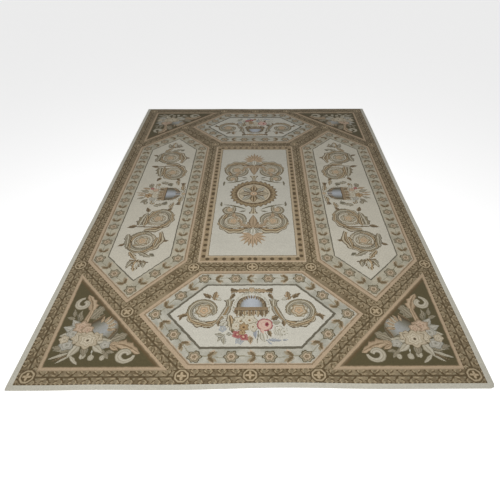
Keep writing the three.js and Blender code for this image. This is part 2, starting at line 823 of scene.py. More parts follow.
class Curl(Enum):
    """Strokes that run once round a centre: inner and outer radius over the turn, from the inner end."""

    BAND = (
        ((0.0, 0.60), (0.2, 0.57), (0.5, 0.62), (0.75, 0.71), (0.9, 0.93), (1.0, 1.25)),
        ((0.0, 0.66), (0.06, 0.84), (0.2, 0.94), (0.5, 1.0), (0.75, 1.08), (0.9, 1.22), (1.0, 1.32)),
    )
    HOOK = (
        ((0.0, 0.10), (0.3, 0.18), (0.6, 0.30), (0.85, 0.48), (1.0, 0.72)),
        ((0.0, 0.30), (0.06, 0.64), (0.3, 0.88), (0.6, 1.0), (0.85, 1.03), (1.0, 1.0)),
    )
    ARCH = (
        ((0.0, 1.0), (0.20, 1.0), (0.25, 0.95), (0.5, 0.93), (0.75, 0.95), (0.80, 1.0), (1.0, 1.0)),
        ((0.0, 1.0), (0.20, 1.0), (0.25, 1.03), (0.5, 1.06), (0.75, 1.03), (0.80, 1.0), (1.0, 1.0)),
    )
    FRINGE = (
        ((0.0, 1.0), (0.58, 1.0), (0.66, 0.90), (0.80, 0.82), (0.90, 0.86), (1.0, 1.10)),
        (
            (0.0, 1.0),
            (0.58, 1.0),
            (0.62, 1.12),
            (0.65, 1.06),
            (0.70, 1.22),
            (0.74, 1.14),
            (0.79, 1.32),
            (0.83, 1.22),
            (0.89, 1.38),
            (0.94, 1.26),
            (1.0, 1.30),
        ),
    )


class Needlework:
    """The node groups that colour motifs, each made once for an outline and its wools."""

    def __init__(self) -> None:
        """Starts with none."""
        self.groups: dict[tuple[Enum, Wools], bpy.types.NodeTree] = {}

    def group(self, outline: Enum, shading: Wools) -> bpy.types.NodeTree:
        """Gives the group for a motif.

        Args:
            outline: The motif's outline.
            shading: Its wools.

        Returns:
            A group that turns a place, and the motif's middle and axes, into colour and cover.
        """
        key = (outline, shading)
        if key not in self.groups:
            tree = bpy.data.node_groups.new(f"motif_{len(self.groups):02d}", "ShaderNodeTree")
            ports = tree.interface
            for port in ("Place", "Middle", "Along", "Across"):
                ports.new_socket(port, in_out="INPUT", socket_type="NodeSocketVector")
            ports.new_socket("Bend", in_out="INPUT", socket_type="NodeSocketFloat")
            ports.new_socket("Colour", in_out="OUTPUT", socket_type="NodeSocketColor")
            ports.new_socket("Cover", in_out="OUTPUT", socket_type="NodeSocketFloat")
            shop = NodeShop(tree)
            source = shop.tree.nodes.new("NodeGroupInput")
            moved = shop.vector("SUBTRACT", source.outputs["Place"], source.outputs["Middle"])
            along, across = (shop.dot(moved, source.outputs[port]) for port in ("Along", "Across"))
            if isinstance(outline, Form):
                bent = along * along * Term(shop, source.outputs["Bend"])
                at, stops = self._shape(shop, outline, shading, along, across - bent)
            elif isinstance(outline, Curl):
                at, stops = self._curl(shop, outline, shading, along, across)
            else:
                at, stops = self._flower(shop, outline, shading, along, across)
            ramp = shop.ramp(at, stops)
            target = shop.tree.nodes.new("NodeGroupOutput")
            shop.tree.links.new(ramp.outputs["Color"], target.inputs["Colour"])
            shop.tree.links.new(ramp.outputs["Alpha"], target.inputs["Cover"])
            self.groups[key] = tree
        return self.groups[key]

    def _shape(
        self, shop: NodeShop, form: Form, shading: Wools, along: Term, across: Term
    ) -> tuple[Term, Stops]:
        """A leaf, bud or other shape that is even about its axis: share of the way across it, and ramp."""
        share = (across + OFF_AXIS) / shop.curve(along, form.value)
        return shop.math("MULTIPLY_ADD", share, 0.5, 0.5), shading.across()

    def _curl(
        self, shop: NodeShop, curl: Curl, shading: Wools, along: Term, across: Term
    ) -> tuple[Term, Stops]:
        """Works out a scroll's stroke.

        Args:
            shop: The maker of the nodes.
            curl: The stroke's outline.
            shading: Its wools.
            along: Place along the motif's own axis.
            across: Place across it.

        Returns:
            The share of the way from its inner to its outer edge, and the ramp to read there.
        """
        radius, turn = polar(shop, along, across)
        inner, outer = (shop.curve(turn, points) for points in curl.value)
        return (radius - inner) / (outer - inner), shading.across()

    def _flower(
        self, shop: NodeShop, rim: Rim, shading: Wools, along: Term, across: Term
    ) -> tuple[Term, Stops]:
        """A round flower: share of the way to its rim, and ramp."""
        radius, turn = polar(shop, along, across)
        return radius / shop.curve(turn, rim.value), shading.outward()


def polar(shop: NodeShop, x: Term, y: Term) -> tuple[Term, Term]:
    """Distance from the middle, and angle from 0 to 1, which starts and ends opposite the X axis."""
    angle = shop.math("ARCTAN2", y, x)
    return shop.length(shop.join(x, y)), shop.math("MULTIPLY_ADD", angle, 0.5 / math.pi, 0.5)


class Canvas:
    """One panel's design, stitched motif over motif on its ground."""

    def __init__(self, shop: NodeShop, needlework: Needlework, place: Socket, ground: Paint) -> None:
        """Starts a design.

        Args:
            shop: The maker of the material's nodes.
            needlework: The motifs' groups.
            place: Coordinates on the cloth, in metres.
            ground: The ground's colour.
        """
        self.shop = shop
        self.needlework = needlework
        self.place = place
        self.colour = ground

    def over(self, at: Term, stops: Stops, look: Look = Look.SMOOTH) -> None:
        """Stitches a ramp of colours over what is there, where it isn't see-through.

        Args:
            at: Where the ramp is read.
            stops: Its colours.
            look: How it goes from one to the next.
        """
        ramp = self.shop.ramp(at, stops, look)
        cover = Term(self.shop, ramp.outputs["Alpha"])
        self.colour = self.shop.blend(cover, self.colour, ramp.outputs["Color"])

    def fill(self, mask: Term, wool: Wool) -> None:
        """Stitches one wool where the mask is 1."""
        self.colour = self.shop.blend(mask, self.colour, wool.value)

    def motif(self, outline: Enum, shading: Wools, spot: Spot) -> None:
        """Stitches a motif.

        Args:
            outline: Its outline: a form along an axis, a scroll's stroke or a flower's rim.
            shading: Its wools.
            spot: Where it lies. For strokes and flowers, length and width are two radii.
        """
        narrow = 0.5 if isinstance(outline, Form) else 1.0
        along, across = axes(spot.turn, spot.length, spot.width * narrow)
        inputs = {
            "Place": self.place,
            "Middle": (spot.x, spot.y, 0.0),
            "Along": along,
            "Across": across,
            "Bend": 2 * spot.bend / spot.width,
        }
        made = self.shop.node("Group", {"node_tree": self.needlework.group(outline, shading)}, inputs)
        cover = Term(self.shop, made.outputs["Cover"])
        self.colour = self.shop.blend(cover, self.colour, made.outputs["Colour"])

    def polar(self, spot: Spot) -> tuple[Term, Term]:
        """Radius in shares of the spot's length, and turn from 0 to 1, about a spot."""
        vector = self.shop.local(self.place, (spot.x, spot.y), spot.turn, (spot.length, spot.width))
        return polar(self.shop, *self.shop.split(vector))

    def stitch(self, motifs: tuple[Motif, ...]) -> None:
        """Stitches a table of motifs, one over the other."""
        for outline, shading, *numbers in motifs:
            self.motif(outline, shading, Spot(*numbers))


@dataclass(frozen=True)
class Edge:
    """A straight run of a border, in the near right quarter of the design, which is folded onto all four.

    Attributes:
        x: Where its repeats start, across the rug.
        y: Where they start, along the rug.
        turn: The direction in which they run, in degrees.
        side: 1 where the outside is on the left of that direction, -1 where it is on the right.
        pitch: The length of one repeat.
        middle: How far along the middle of the run is, in repeats.
        half: Half the length of the run, in repeats.
    """

    x: float
    y: float
    turn: float
    side: int = 1
    pitch: float = 1.0
    middle: float = 0.0
    half: float = 9.0

    def outward(self) -> Pair:
        """The direction out of the panel."""
        angle = math.radians(self.turn)
        return (-self.side * math.sin(angle), self.side * math.cos(angle))

    def out(self, x: float, y: float) -> float:
        """How far outside the run's own line a place is."""
        normal = self.outward()
        return normal[0] * (x - self.x) + normal[1] * (y - self.y)


@dataclass(frozen=True)
class Outline:
    """A convex panel, given by the middle lines of its border.

    Attributes:
        edges: The border's runs.
        reach: How far the panel reaches outside those lines.
    """

    edges: tuple[Edge, ...]
    reach: float

    def holds(self, x: float, y: float) -> bool:
        """Whether a place is in the panel."""
        return all(edge.out(abs(x), abs(y)) <= self.reach for edge in self.edges)


SIDE_PANEL = Outline(
    (
        Edge(0.845, 0.628, -90.0, 1, 0.139),
        Edge(0.618, 0.860, -45.6, 1, 0.1623),
        Edge(0.618, 0.860, -131.5, -1, 0.1548),
        Edge(0.413, 0.628, -90.0, -1, 0.139),
    ),
    0.056,
)
END_PANEL = Outline(
    (
        Edge(0.460, 1.0165, -132.3, 1, 0.1575),
        Edge(0.460, 1.0165, 132.5, -1, 0.1584),
        Edge(0.248, 0.7835, 180.0, 1, 0.162),
        Edge(0.246, 1.250, 180.0, -1, 0.162),
    ),
    0.057,
)
CENTRE_PANEL = Outline((Edge(0.272, 0.635, -90.0, 1, 0.0465), Edge(0.272, 0.635, 180.0, -1, 0.0465)), 0.025)
CORNER_PANEL = Outline(
    (Edge(0.904, 1.314, -90.0), Edge(0.904, 1.314, 180.0, -1), Edge(0.8642, 0.7823, 134.2)),
    0.0,
)

# The garland's bands, by their middle lines.
GARLAND_RUNS = (
    Edge(0.9385, 0.0, 90.0, middle=0.67, half=0.67),
    Edge(0.0, 1.3445, 0.0, middle=0.467, half=0.467),
    Edge(0.327, 0.0, 90.0, middle=0.345, half=0.345),
    Edge(0.0, 0.6935, 0.0, middle=0.16, half=0.16),
    Edge(0.75, 0.860, 134.6, middle=0.20, half=0.455),
    Edge(0.4456, 0.83, 47.5, middle=0.023, half=0.197),
)

# The round medallions where the bands meet. The columns are x, y and the turn of the flower in degrees.
MEDALLION_SPOTS: tuple[Triple, ...] = (
    (0.934, 1.341, 0.0),
    (0.287, 1.341, 0.0),
    (0.0, 1.341, 0.0),
    (0.934, 0.679, 0.0),
    (0.599, 1.002, 45.0),
    (0.316, 0.699, 0.0),
    (0.0, 0.696, 0.0),
)


class Zone(Enum):
    """The kinds of panel, in the order of the sheet's materials."""

    SELVEDGE = 0
    GARLAND = 1
    CENTRE = 2
    SIDE = 3
    END = 4
    CORNER = 5
    LINING = 6


class Side(Enum):
    """The cloth's edges, as the camera sees them."""

    NEAR = "near"
    FAR = "far"
    LEFT = "left"
    RIGHT = "right"


@dataclass(frozen=True)
class Bow:
    """A place where an edge of the cloth is drawn in.

    Attributes:
        edge: Which edge.
        at: Where along it.
        reach: How far to each side.
        depth: How much.
    """

    edge: Side
    at: float
    reach: float
    depth: float


@dataclass(frozen=True)
class Ridge:
    """A soft crease or wrinkle.

    Attributes:
        x: Its middle across the rug.
        y: Its middle along the rug.
        turn: The angle of its crest from the X axis, in degrees.
        half_length: Its reach along the crest.
        half_width: Its reach across the crest.
        height: How far it stands off the floor.
    """

    x: float
    y: float
    turn: float
    half_length: float
    half_width: float
    height: float

    def lift(self, x: float, y: float) -> float:
        """Works out how far it lifts the cloth at a place.

        Args:
            x: The place across the rug.
            y: The place along the rug.

        Returns:
            The height off the floor.
        """
        cosine, sine = math.cos(math.radians(self.turn)), math.sin(math.radians(self.turn))
        along = (x - self.x) * cosine + (y - self.y) * sine
        across = (y - self.y) * cosine - (x - self.x) * sine
        return self.height * hump(along / self.half_length) * hump(across / self.half_width)


def hump(share: float) -> float:
    """A smooth hump: 1 at 0, falling to 0 at -1 and 1."""
    return 0.5 + 0.5 * math.cos(math.pi * share) if abs(share) < 1 else 0.0


@dataclass
class RugSheet:
    """The rug's one piece of cloth, with its panels marked out on it.

    Attributes:
        thickness: The cloth's thickness.
        cell: The size of the mesh's cells before the panels are cut in.
        hem_round: The radius of the hem's edges.
        hem_width: The width of the plain selvedge at the sides and the near end.
        far_hem_width: Its width at the far end, where the border runs almost to the edge.
        bow_fade: How far in from an edge its unevenness has died out.
        lump: The height of the small unevenness of the stitched face.
        lumps: Its coarse and its fine part: share of the height, times a metre across and along, and layer.
        drift: How far to the left of the cloth's middle line the design was stitched.
        near_shift: How far the selvedge's line at the near end is moved towards that end.
        bows: The shallow bends in the cloth's edges.
        corners: The sides and the radius of each rounded corner.
        ridges: The creases and wrinkles.
    """

    thickness: float = 0.0045
    cell: float = 0.02
    hem_round: float = 0.0014
    hem_width: float = 0.025
    far_hem_width: float = 0.010
    bow_fade: float = 0.10
    lump: float = 0.0005
    lumps: tuple[tuple[float, float, float, float], ...] = ((1.0, 9.0, 13.0, 0.0), (0.5, 27.0, 31.0, 4.0))
    drift: float = 0.0045
    near_shift: float = 0.003
    bows: tuple[Bow, ...] = (
        Bow(Side.NEAR, 0.13, 0.46, 0.008),
        Bow(Side.NEAR, -0.62, 0.24, 0.0025),
        Bow(Side.RIGHT, 0.06, 1.1, 0.007),
        Bow(Side.RIGHT, -0.82, 0.38, 0.0025),
        Bow(Side.LEFT, -0.24, 0.62, 0.0025),
        Bow(Side.FAR, 0.22, 0.56, 0.0035),
        Bow(Side.FAR, -0.56, 0.30, 0.002),
    )
    corners: tuple[tuple[int, int, float], ...] = (
        (1, -1, 0.020),
        (-1, -1, 0.006),
        (1, 1, 0.009),
        (-1, 1, 0.009),
    )
    ridges: tuple[Ridge, ...] = (
        Ridge(0.0, -0.132, 0.0, 1.7, 0.062, 0.0042),
        Ridge(0.0, -0.366, 0.0, 1.7, 0.066, 0.0036),
        Ridge(0.0, 0.420, 0.0, 1.7, 0.070, 0.0022),
        Ridge(0.110, -0.500, 24.0, 0.230, 0.085, 0.0044),
        Ridge(0.700, -0.585, 12.0, 0.260, 0.090, 0.0046),
        Ridge(-0.640, -0.330, -8.0, 0.240, 0.095, 0.0032),
        Ridge(-0.130, 0.560, 10.0, 0.220, 0.090, 0.0026),
    )

    def __post_init__(self) -> None:
        """Takes the cloth's width and length from the solid that it stands for."""
        low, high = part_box("woven_rug")
        self.half_width = (high.x - low.x) / 2
        self.half_length = (high.y - low.y) / 2

    def build(self, materials: dict[Zone, bpy.types.Material]) -> bpy.types.Object:
        """Makes the sheet, laid on the floor.

        Args:
            materials: The finish of each kind of panel.

        Returns:
            The sheet.
        """
        bm = bmesh.new()
        counts = [round(2 * half / self.cell) for half in (self.half_width, self.half_length)]
        bmesh.ops.create_grid(bm, x_segments=counts[0], y_segments=counts[1], size=1.0)
        bmesh.ops.scale(bm, vec=(self.half_width, self.half_length, 1.0), verts=bm.verts)
        self._mark_out(bm)
        for face in bm.faces:
            face.material_index = self._zone(*face.calc_center_median().xy).value
        self._thicken(bm)
        self._map_design(bm)
        for vertex in bm.verts:
            vertex.co = self._laid(vertex.co)
        for face in bm.faces:
            face.smooth = True
        mesh = bpy.data.meshes.new("rug_sheet")
        bm.to_mesh(mesh)
        bm.free()
        for zone in Zone:
            mesh.materials.append(materials[zone])
        sheet = bpy.data.objects.new("rug_sheet", mesh)
        bpy.context.scene.collection.objects.link(sheet)
        LOG.info("rug sheet: %d faces", len(mesh.polygons))
        return sheet

    def _mark_out(self, bm: bmesh.types.BMesh) -> None:
        """Cuts the panels' outlines and the selvedge's line into the flat grid.

        Args:
            bm: The grid.
        """
        lines = [(side * (self.half_width - self.hem_width), 0.0, side, 0.0) for side in (-1, 1)]
        lines.append((0.0, self.hem_width - self.near_shift - self.half_length, 0.0, -1.0))
        lines.append((0.0, self.half_length - self.far_hem_width, 0.0, 1.0))
        for x, y, across, along in lines:
            self._cut(bm, list(bm.faces), (x, y), (across, along))
        margin = 2 * self.cell
        for outline in (SIDE_PANEL, END_PANEL, CENTRE_PANEL, CORNER_PANEL):
            for edge in outline.edges:
                for across in (-1, 1):
                    for along in (-1, 1):
                        faces = [
                            face
                            for face in bm.faces
                            if self._near(face, outline, edge, across, along, margin)
                        ]
                        normal = edge.outward()
                        point = (
                            across * (edge.x + outline.reach * normal[0]),
                            along * (edge.y + outline.reach * normal[1]),
                        )
                        self._cut(bm, faces, point, (across * normal[0], along * normal[1]))

    def _near(
        self,
        face: bmesh.types.BMFace,
        outline: Outline,
        edge: Edge,
        across: int,
        along: int,
        margin: float,
    ) -> bool:
        """Tells whether a face is close to one edge of a panel, in one quarter of the rug.

        Args:
            face: The face.
            outline: The panel.
            edge: The panel's edge.
            across: The quarter's side across the rug, -1 or 1.
            along: Its side along the rug, -1 or 1.
            margin: How far off the edge still counts as close.

        Returns:
            True where the edge's cut may reach the face.
        """
        centre = face.calc_center_median()
        x, y = across * centre.x, along * centre.y
        if min(x, y) < -margin or abs(edge.out(x, y) - outline.reach) > margin:
            return False
        return all(other.out(x, y) <= outline.reach + margin for other in outline.edges)

    def _cut(
        self,
        bm: bmesh.types.BMesh,
        faces: list[bmesh.types.BMFace],
        point: Pair,
        normal: Pair,
    ) -> None:
        """Cuts faces along a straight line.

        Args:
            bm: The mesh.
            faces: The faces that may be cut.
            point: A place on the line.
            normal: The direction across it.
        """
        edges = {edge for face in faces for edge in face.edges}
        verts = {vertex for face in faces for vertex in face.verts}
        bmesh.ops.bisect_plane(
            bm,
            geom=[*faces, *edges, *verts],
            dist=0.0003,
            plane_co=(*point, 0.0),
            plane_no=(*normal, 0.0),
        )

    def _zone(self, x: float, y: float) -> Zone:
        """Finds the kind of panel at a place on the design.

        Args:
            x: The place across the rug.
            y: The place along the rug.

        Returns:
            The kind.
        """
        near_hem = self.half_length - self.hem_width + self.near_shift
        far_hem = self.half_length - self.far_hem_width
        if abs(x) > self.half_width - self.hem_width or not -near_hem < y < far_hem:
            return Zone.SELVEDGE
        for zone, outline in (
            (Zone.CENTRE, CENTRE_PANEL),
            (Zone.SIDE, SIDE_PANEL),
            (Zone.END, END_PANEL),
            (Zone.CORNER, CORNER_PANEL),
        ):
            if outline.holds(x, y):
                return zone
        return Zone.GARLAND

    def _thicken(self, bm: bmesh.types.BMesh) -> None:
        """Gives the flat face its thickness, its lining and a round hem.

        Args:
            bm: The flat sheet.
        """
        bmesh.ops.solidify(bm, geom=list(bm.faces), thickness=self.thickness)
        low = min(vertex.co.z for vertex in bm.verts)
        bmesh.ops.translate(bm, vec=(0.0, 0.0, -low), verts=bm.verts)
        bmesh.ops.recalc_face_normals(bm, faces=bm.faces)
        for face in bm.faces:
            if face.normal.z < -0.5:
                face.material_index = Zone.LINING.value
            elif face.normal.z < 0.5:
                face.material_index = Zone.SELVEDGE.value
        level = self.thickness / 10
        rim = [
            edge
            for edge in bm.edges
            if edge.calc_face_angle(0.0) > 1.0 and abs(edge.verts[0].co.z - edge.verts[1].co.z) < level
        ]
        bmesh.ops.bevel(
            bm,
            geom=rim,
            offset=self.hem_round,
            offset_type="OFFSET",
            affect="EDGES",
            segments=3,
            profile=0.5,
            material=-1,
        )

    def _map_design(self, bm: bmesh.types.BMesh) -> None:
        """Lays the design's own map on the cloth, in metres from its middle."""
        layer = bm.loops.layers.uv.new("design")
        for face in bm.faces:
            for loop in face.loops:
                loop[layer].uv = loop.vert.co.xy

    def _drawn_in(self, edge: Side, at: float) -> float:
        """How far an edge is drawn in at a place along it."""
        return sum(bow.depth * hump((at - bow.at) / bow.reach) for bow in self.bows if bow.edge == edge)

    def _fade(self, distance: float) -> float:
        """Share of an edge's unevenness that is left at a distance in from it."""
        share = min(max(1 - distance / self.bow_fade, 0.0), 1.0)
        return share * share * (3 - 2 * share)

    def _laid(self, flat: Vector) -> Vector:
        """Moves a point of the flat sheet to where the cloth lies.

        Args:
            flat: The point, on a straight rectangle.

        Returns:
            The point on the floor, with the cloth's uneven edges, round corners and creases.
        """
        x, y = flat.x, flat.y
        for across, along, radius in self.corners:
            a = (x * across - (self.half_width - radius)) / radius
            b = (y * along - (self.half_length - radius)) / radius
            if a > 0 and b > 0:
                x = across * (self.half_width - radius + radius * a * math.sqrt(1 - b * b / 2))
                y = along * (self.half_length - radius + radius * b * math.sqrt(1 - a * a / 2))
        to_right, to_left = self.half_width - x, self.half_width + x
        to_far, to_near = self.half_length - y, self.half_length + y
        moved_x = self._drawn_in(Side.LEFT, flat.y) * self._fade(to_left)
        moved_x -= self._drawn_in(Side.RIGHT, flat.y) * self._fade(to_right)
        moved_y = self._drawn_in(Side.NEAR, flat.x) * self._fade(to_near)
        moved_y -= self._drawn_in(Side.FAR, flat.x) * self._fade(to_far)
        x, y = x + moved_x, y + moved_y
        x -= self.drift * (1 - (flat.x / self.half_width) ** 2)
        lift = sum(ridge.lift(x, y) for ridge in self.ridges)
        if flat.z > self.thickness / 2:
            for share, across, along, layer in self.lumps:
                lift += share * self.lump * noise.noise(Vector((x * across, y * along, layer)))
        return Vector((x, y, flat.z + lift))


@dataclass(frozen=True)
class WoolCloth:
    """The stitched wool that every panel is made of.

    Attributes:
        stitch: The size of a stitch.
        wobble: How far the hand-drawn lines stray.
        waver: How often they stray, in times a metre.
        depth: The height of a stitch.
        roughness: The wool's roughness.
        sheen: The strength of the fuzz's sheen.
        speck: How much the wool's lightness varies from stitch to stitch.
        wear: How much it varies over the cloth.
        patches: How often it does so, in times a metre.
        rows: How often the dye changes across, along and through the cloth, in times a metre.
        lean: The angle of a stitch, in degrees.
        tuft: Half a stitch's length and width, as shares of its size.
    """

    stitch: float = 0.0032
    wobble: float = 0.004
    waver: float = 42.0
    depth: float = 0.0005
    roughness: float = 0.93
    sheen: float = 0.12
    speck: float = 0.20
    wear: float = 0.12
    patches: float = 7.0
    rows: Triple = (1.5, 22.0, 1.0)
    lean: float = 38.0
    tuft: Pair = (0.62, 0.46)

    def place(self, shop: NodeShop) -> Socket:
        """Steps the design to stitches.

        Args:
            shop: The maker of the nodes.

        Returns:
            Coordinates of the design at each stitch, in metres from the rug's middle.
        """
        spot = shop.node("UVMap", {"uv_map": "design"}).outputs[0]
        stray = shop.noise(spot, self.waver, 1.0)
        shift = shop.vector("MULTIPLY_ADD", stray.outputs["Color"], *self._centred(self.wobble))
        moved = shop.vector("ADD", spot, shift)
        return shop.vector("SNAP", moved, (self.stitch, self.stitch, 1.0))

    def _centred(self, size: float) -> tuple[Triple, Triple]:
        """A factor and a shift that centre a noise about zero."""
        return (size, size, 0.0), (-size / 2, -size / 2, 0.0)

    def dress(self, shop: NodeShop, colour: Paint, streak: float = 0.10) -> None:
        """Finishes a material: dye variation, stitches and shader.

        Args:
            shop: The maker of its nodes.
            colour: The design's colour.
            streak: How much the dye varies from row to row.
        """
        spot = shop.node("UVMap", {"uv_map": "design"}).outputs[0]
        count = 1 / self.stitch
        cells = shop.vector("MULTIPLY", spot, (count, count, 1.0))
        rows = shop.vector("MULTIPLY", spot, self.rows)
        lots = shop.node("TexNoise", inputs={"Vector": rows, "Detail": 2.0})
        whole = shop.vector("FLOOR", cells)
        speck = shop.node("TexWhiteNoise", {"noise_dimensions": "2D"}, {"Vector": whole})
        light = Term(shop, lots.outputs[0]) * streak + Term(shop, speck.outputs[0]) * self.speck
        light = light + shop.cloud(spot, self.patches, 3.0) * self.wear
        gain = light + (1.0 - (streak + self.speck + self.wear) / 2)
        plain = colour[:3] if isinstance(colour, tuple) else colour
        dyed = shop.node("VectorMath", {"operation": "SCALE"}, {0: plain, "Scale": gain}).outputs[0]
        across = shop.vector("SUBTRACT", shop.vector("FRACTION", cells), (0.5, 0.5, 0.0))
        slant = shop.local(across, (0.0, 0.0), self.lean, self.tuft)
        rise = shop.math("SUBTRACT", 1.0, shop.length(slant))
        bump = shop.node("Bump", None, {"Height": rise, "Distance": self.depth, "Strength": 1.0})
        surface = shop.node(
            "BsdfPrincipled",
            None,
            {
                "Base Color": dyed,
                "Roughness": self.roughness,
                "IOR": 1.4,
                "Sheen Weight": self.sheen,
                "Sheen Roughness": 0.5,
                "Normal": bump.outputs[0],
            },
        )
        shop.node("OutputMaterial", None, {"Surface": surface.outputs[0]})


def follow(
    shop: NodeShop, place: Socket, edges: tuple[Edge, ...], nearest: bool = False
) -> tuple[Term, Term]:
    """Gives coordinates along and across the border that a place belongs to.

    Args:
        shop: The maker of the nodes.
        place: Coordinates on the folded design.
        edges: The border's runs.
        nearest: True takes the run that is nearest, False the one that the place is furthest out of.

    Returns:
        The distance along the run in repeats, and the distance outside its middle line in metres.
    """
    best, rank = None, None
    for edge in edges:
        spot = shop.local(place, (edge.x, edge.y), edge.turn, (edge.pitch, edge.side))
        along, out = shop.split(spot)
        if nearest:
            past = shop.math("MAXIMUM", abs(along - edge.middle) - edge.half, 0.0)
            merit = 0.0 - (abs(out) + past * edge.pitch)
        else:
            merit = out
        if best is None:
            best, rank = spot, merit
            continue
        best = shop.choose(merit > rank, best, spot)
        rank = shop.math("MAXIMUM", rank, merit)
    return shop.split(best)


def repeat(shop: NodeShop, along: Term, shift: float, pitch: float) -> Term:
    """Distance along a border from the middle of the nearest repeat, in metres."""
    return (shop.math("FRACT", along + (0.5 - shift)) - 0.5) * pitch


class Panel:
    """A kind of panel. Each kind stitches its own design."""

    title = "panel"

    def design(self, shop: NodeShop, needlework: Needlework, place: Socket) -> Paint:
        """Stitches the design.

        Args:
            shop: The maker of the material's nodes.
            needlework: The motifs' groups.
            place: Coordinates on the cloth, in metres.

        Returns:
            The design's colour.
        """
        raise NotImplementedError

    def material(self, cloth: WoolCloth, needlework: Needlework) -> bpy.types.Material:
        """Makes the panel's material.

        Args:
            cloth: The wool it is stitched in.
            needlework: The motifs' groups.

        Returns:
            The material.
        """
        made = new_material(self.title)
        shop = NodeShop(made.node_tree)
        cloth.dress(shop, self.design(shop, needlework, cloth.place(shop)))
        LOG.info("%s: %d nodes", self.title, len(shop.tree.nodes))
        return made


@dataclass
class Selvedge(Panel):
    """The plain hem round the rug.

    Attributes:
        wool: Its wool.
    """

    wool: Wool = Wool.CREAM
    title = "selvedge"

    def design(self, shop: NodeShop, needlework: Needlework, place: Socket) -> Paint:
        """Stitches the hem in plain cream."""
        return self.wool.value


@dataclass
class Lining(Panel):
    """The cloth underside, which shows only where the rug is turned over."""

    title = "lining"

    def design(self, shop: NodeShop, needlework: Needlework, place: Socket) -> Paint:
        """Weaves plain beige."""
        return Wool.BEIGE.value


GARLAND_STROKE = rings(
    (0.0, 106, 89, 60),
    (0.5, 85, 69, 43),
    (0.9, 106, 89, 60),
)
GARLAND_LEAF = rings(
    (0.0, 110, 92, 64),
    (0.3, 176, 158, 126),
    (0.6, 184, 167, 136),
    (0.9, 120, 101, 72),
)
GARLAND_MIST = rings(
    (0.0, 118, 104, 78),
    (0.4, 160, 148, 120),
    (0.9, 128, 113, 86),
)
GARLAND_SPRIGS: tuple[Motif, ...] = (
    (Form.LEAF, GARLAND_MIST, -0.024, 0.007, 20.0, 0.030, 0.012),
    (Form.LEAF, GARLAND_STROKE, -0.026, 0.020, 30.0, 0.026, 0.007),
    (Form.LEAF, GARLAND_MIST, -0.018, 0.021, 26.0, 0.026, 0.011),
    (Form.LEAF, GARLAND_LEAF, 0.003, 0.006, 10.0, 0.024, 0.009),
    (Form.LEAF, GARLAND_STROKE, 0.006, 0.013, 34.0, 0.024, 0.007),
    (Form.LEAF, GARLAND_LEAF, 0.008, 0.019, 44.0, 0.020, 0.009),
    (Form.BLADE, GARLAND_STROKE, 0.004, -0.004, 128.0, 0.036, 0.010),
    (Form.LEAF, GARLAND_LEAF, -0.006, 0.014, 122.0, 0.020, 0.008),
    (Form.BLADE, GARLAND_STROKE, -0.024, 0.032, 10.0, 0.014, 0.010),
    (Form.LEAF, GARLAND_LEAF, -0.010, 0.027, 66.0, 0.014, 0.010),
    (Form.BLADE, GARLAND_STROKE, -0.003, 0.034, 10.0, 0.014, 0.010),
    (Form.LEAF, GARLAND_LEAF, 0.014, 0.030, 110.0, 0.012, 0.008),
    (Form.BLADE, GARLAND_STROKE, 0.015, 0.033, 0.0, 0.012, 0.009),
)


@dataclass
class Garland(Panel):
    """The dark leafy bands that frame the panels, with a round medallion where they meet.

    Attributes:
        pitch: The distance from sprig to sprig.
        stagger: How far the sprigs outside the stem are ahead of those inside, in shares of the pitch.
        disc: The radius of a medallion.
        cross: The radius of the flower in it.
        stem: The colour of the stem along the middle.
        stem_half: Half the stem's width.
        clouds: The two tones of its ground, from the darker to the lighter.
        mottle: The fineness of these clouds.
    """

    pitch: float = 0.058
    stagger: float = 0.38
    disc: float = 0.0375
    cross: float = 0.0195
    stem: Colour = dye(88, 73, 47)
    stem_half: float = 0.0042
    clouds: Stops = ((0.35, dye(119, 103, 76)), (0.65, dye(151, 135, 107)))
    mottle: float = 14.0
    title = "garland"

    def design(self, shop: NodeShop, needlework: Needlework, place: Socket) -> Paint:
        """Stitches the sprigs, the stem and the medallions.

        Args:
            shop: The maker of the material's nodes.
            needlework: The motifs' groups.
            place: Coordinates on the cloth, in metres.

        Returns:
            The design's colour.
        """
        folded = shop.vector("ABSOLUTE", place)
        along, out = follow(shop, folded, GARLAND_RUNS, nearest=True)
        ground = shop.ramp(shop.cloud(place, self.mottle), self.clouds).outputs["Color"]
        canvas = Canvas(shop, needlework, folded, ground)
        shifted = along / self.pitch + (out > 0.0) * self.stagger
        canvas.place = shop.join(repeat(shop, shifted, 0.0, self.pitch), abs(out))
        canvas.stitch(GARLAND_SPRIGS)
        canvas.place = folded
        stem = ((0.0, self.stem), (0.4, self.stem), (1.0, clear(self.stem)))
        canvas.over(abs(out) / self.stem_half, stem)
        for x, y, turn in MEDALLION_SPOTS:
            canvas.motif(Rim.OCTAGON, MEDALLION_DISC, Spot(x, y, 0.0, self.disc, self.disc))
            canvas.motif(Rim.CROSS, QUATREFOIL, Spot(x, y, turn, self.cross, self.cross))
        return canvas.colour


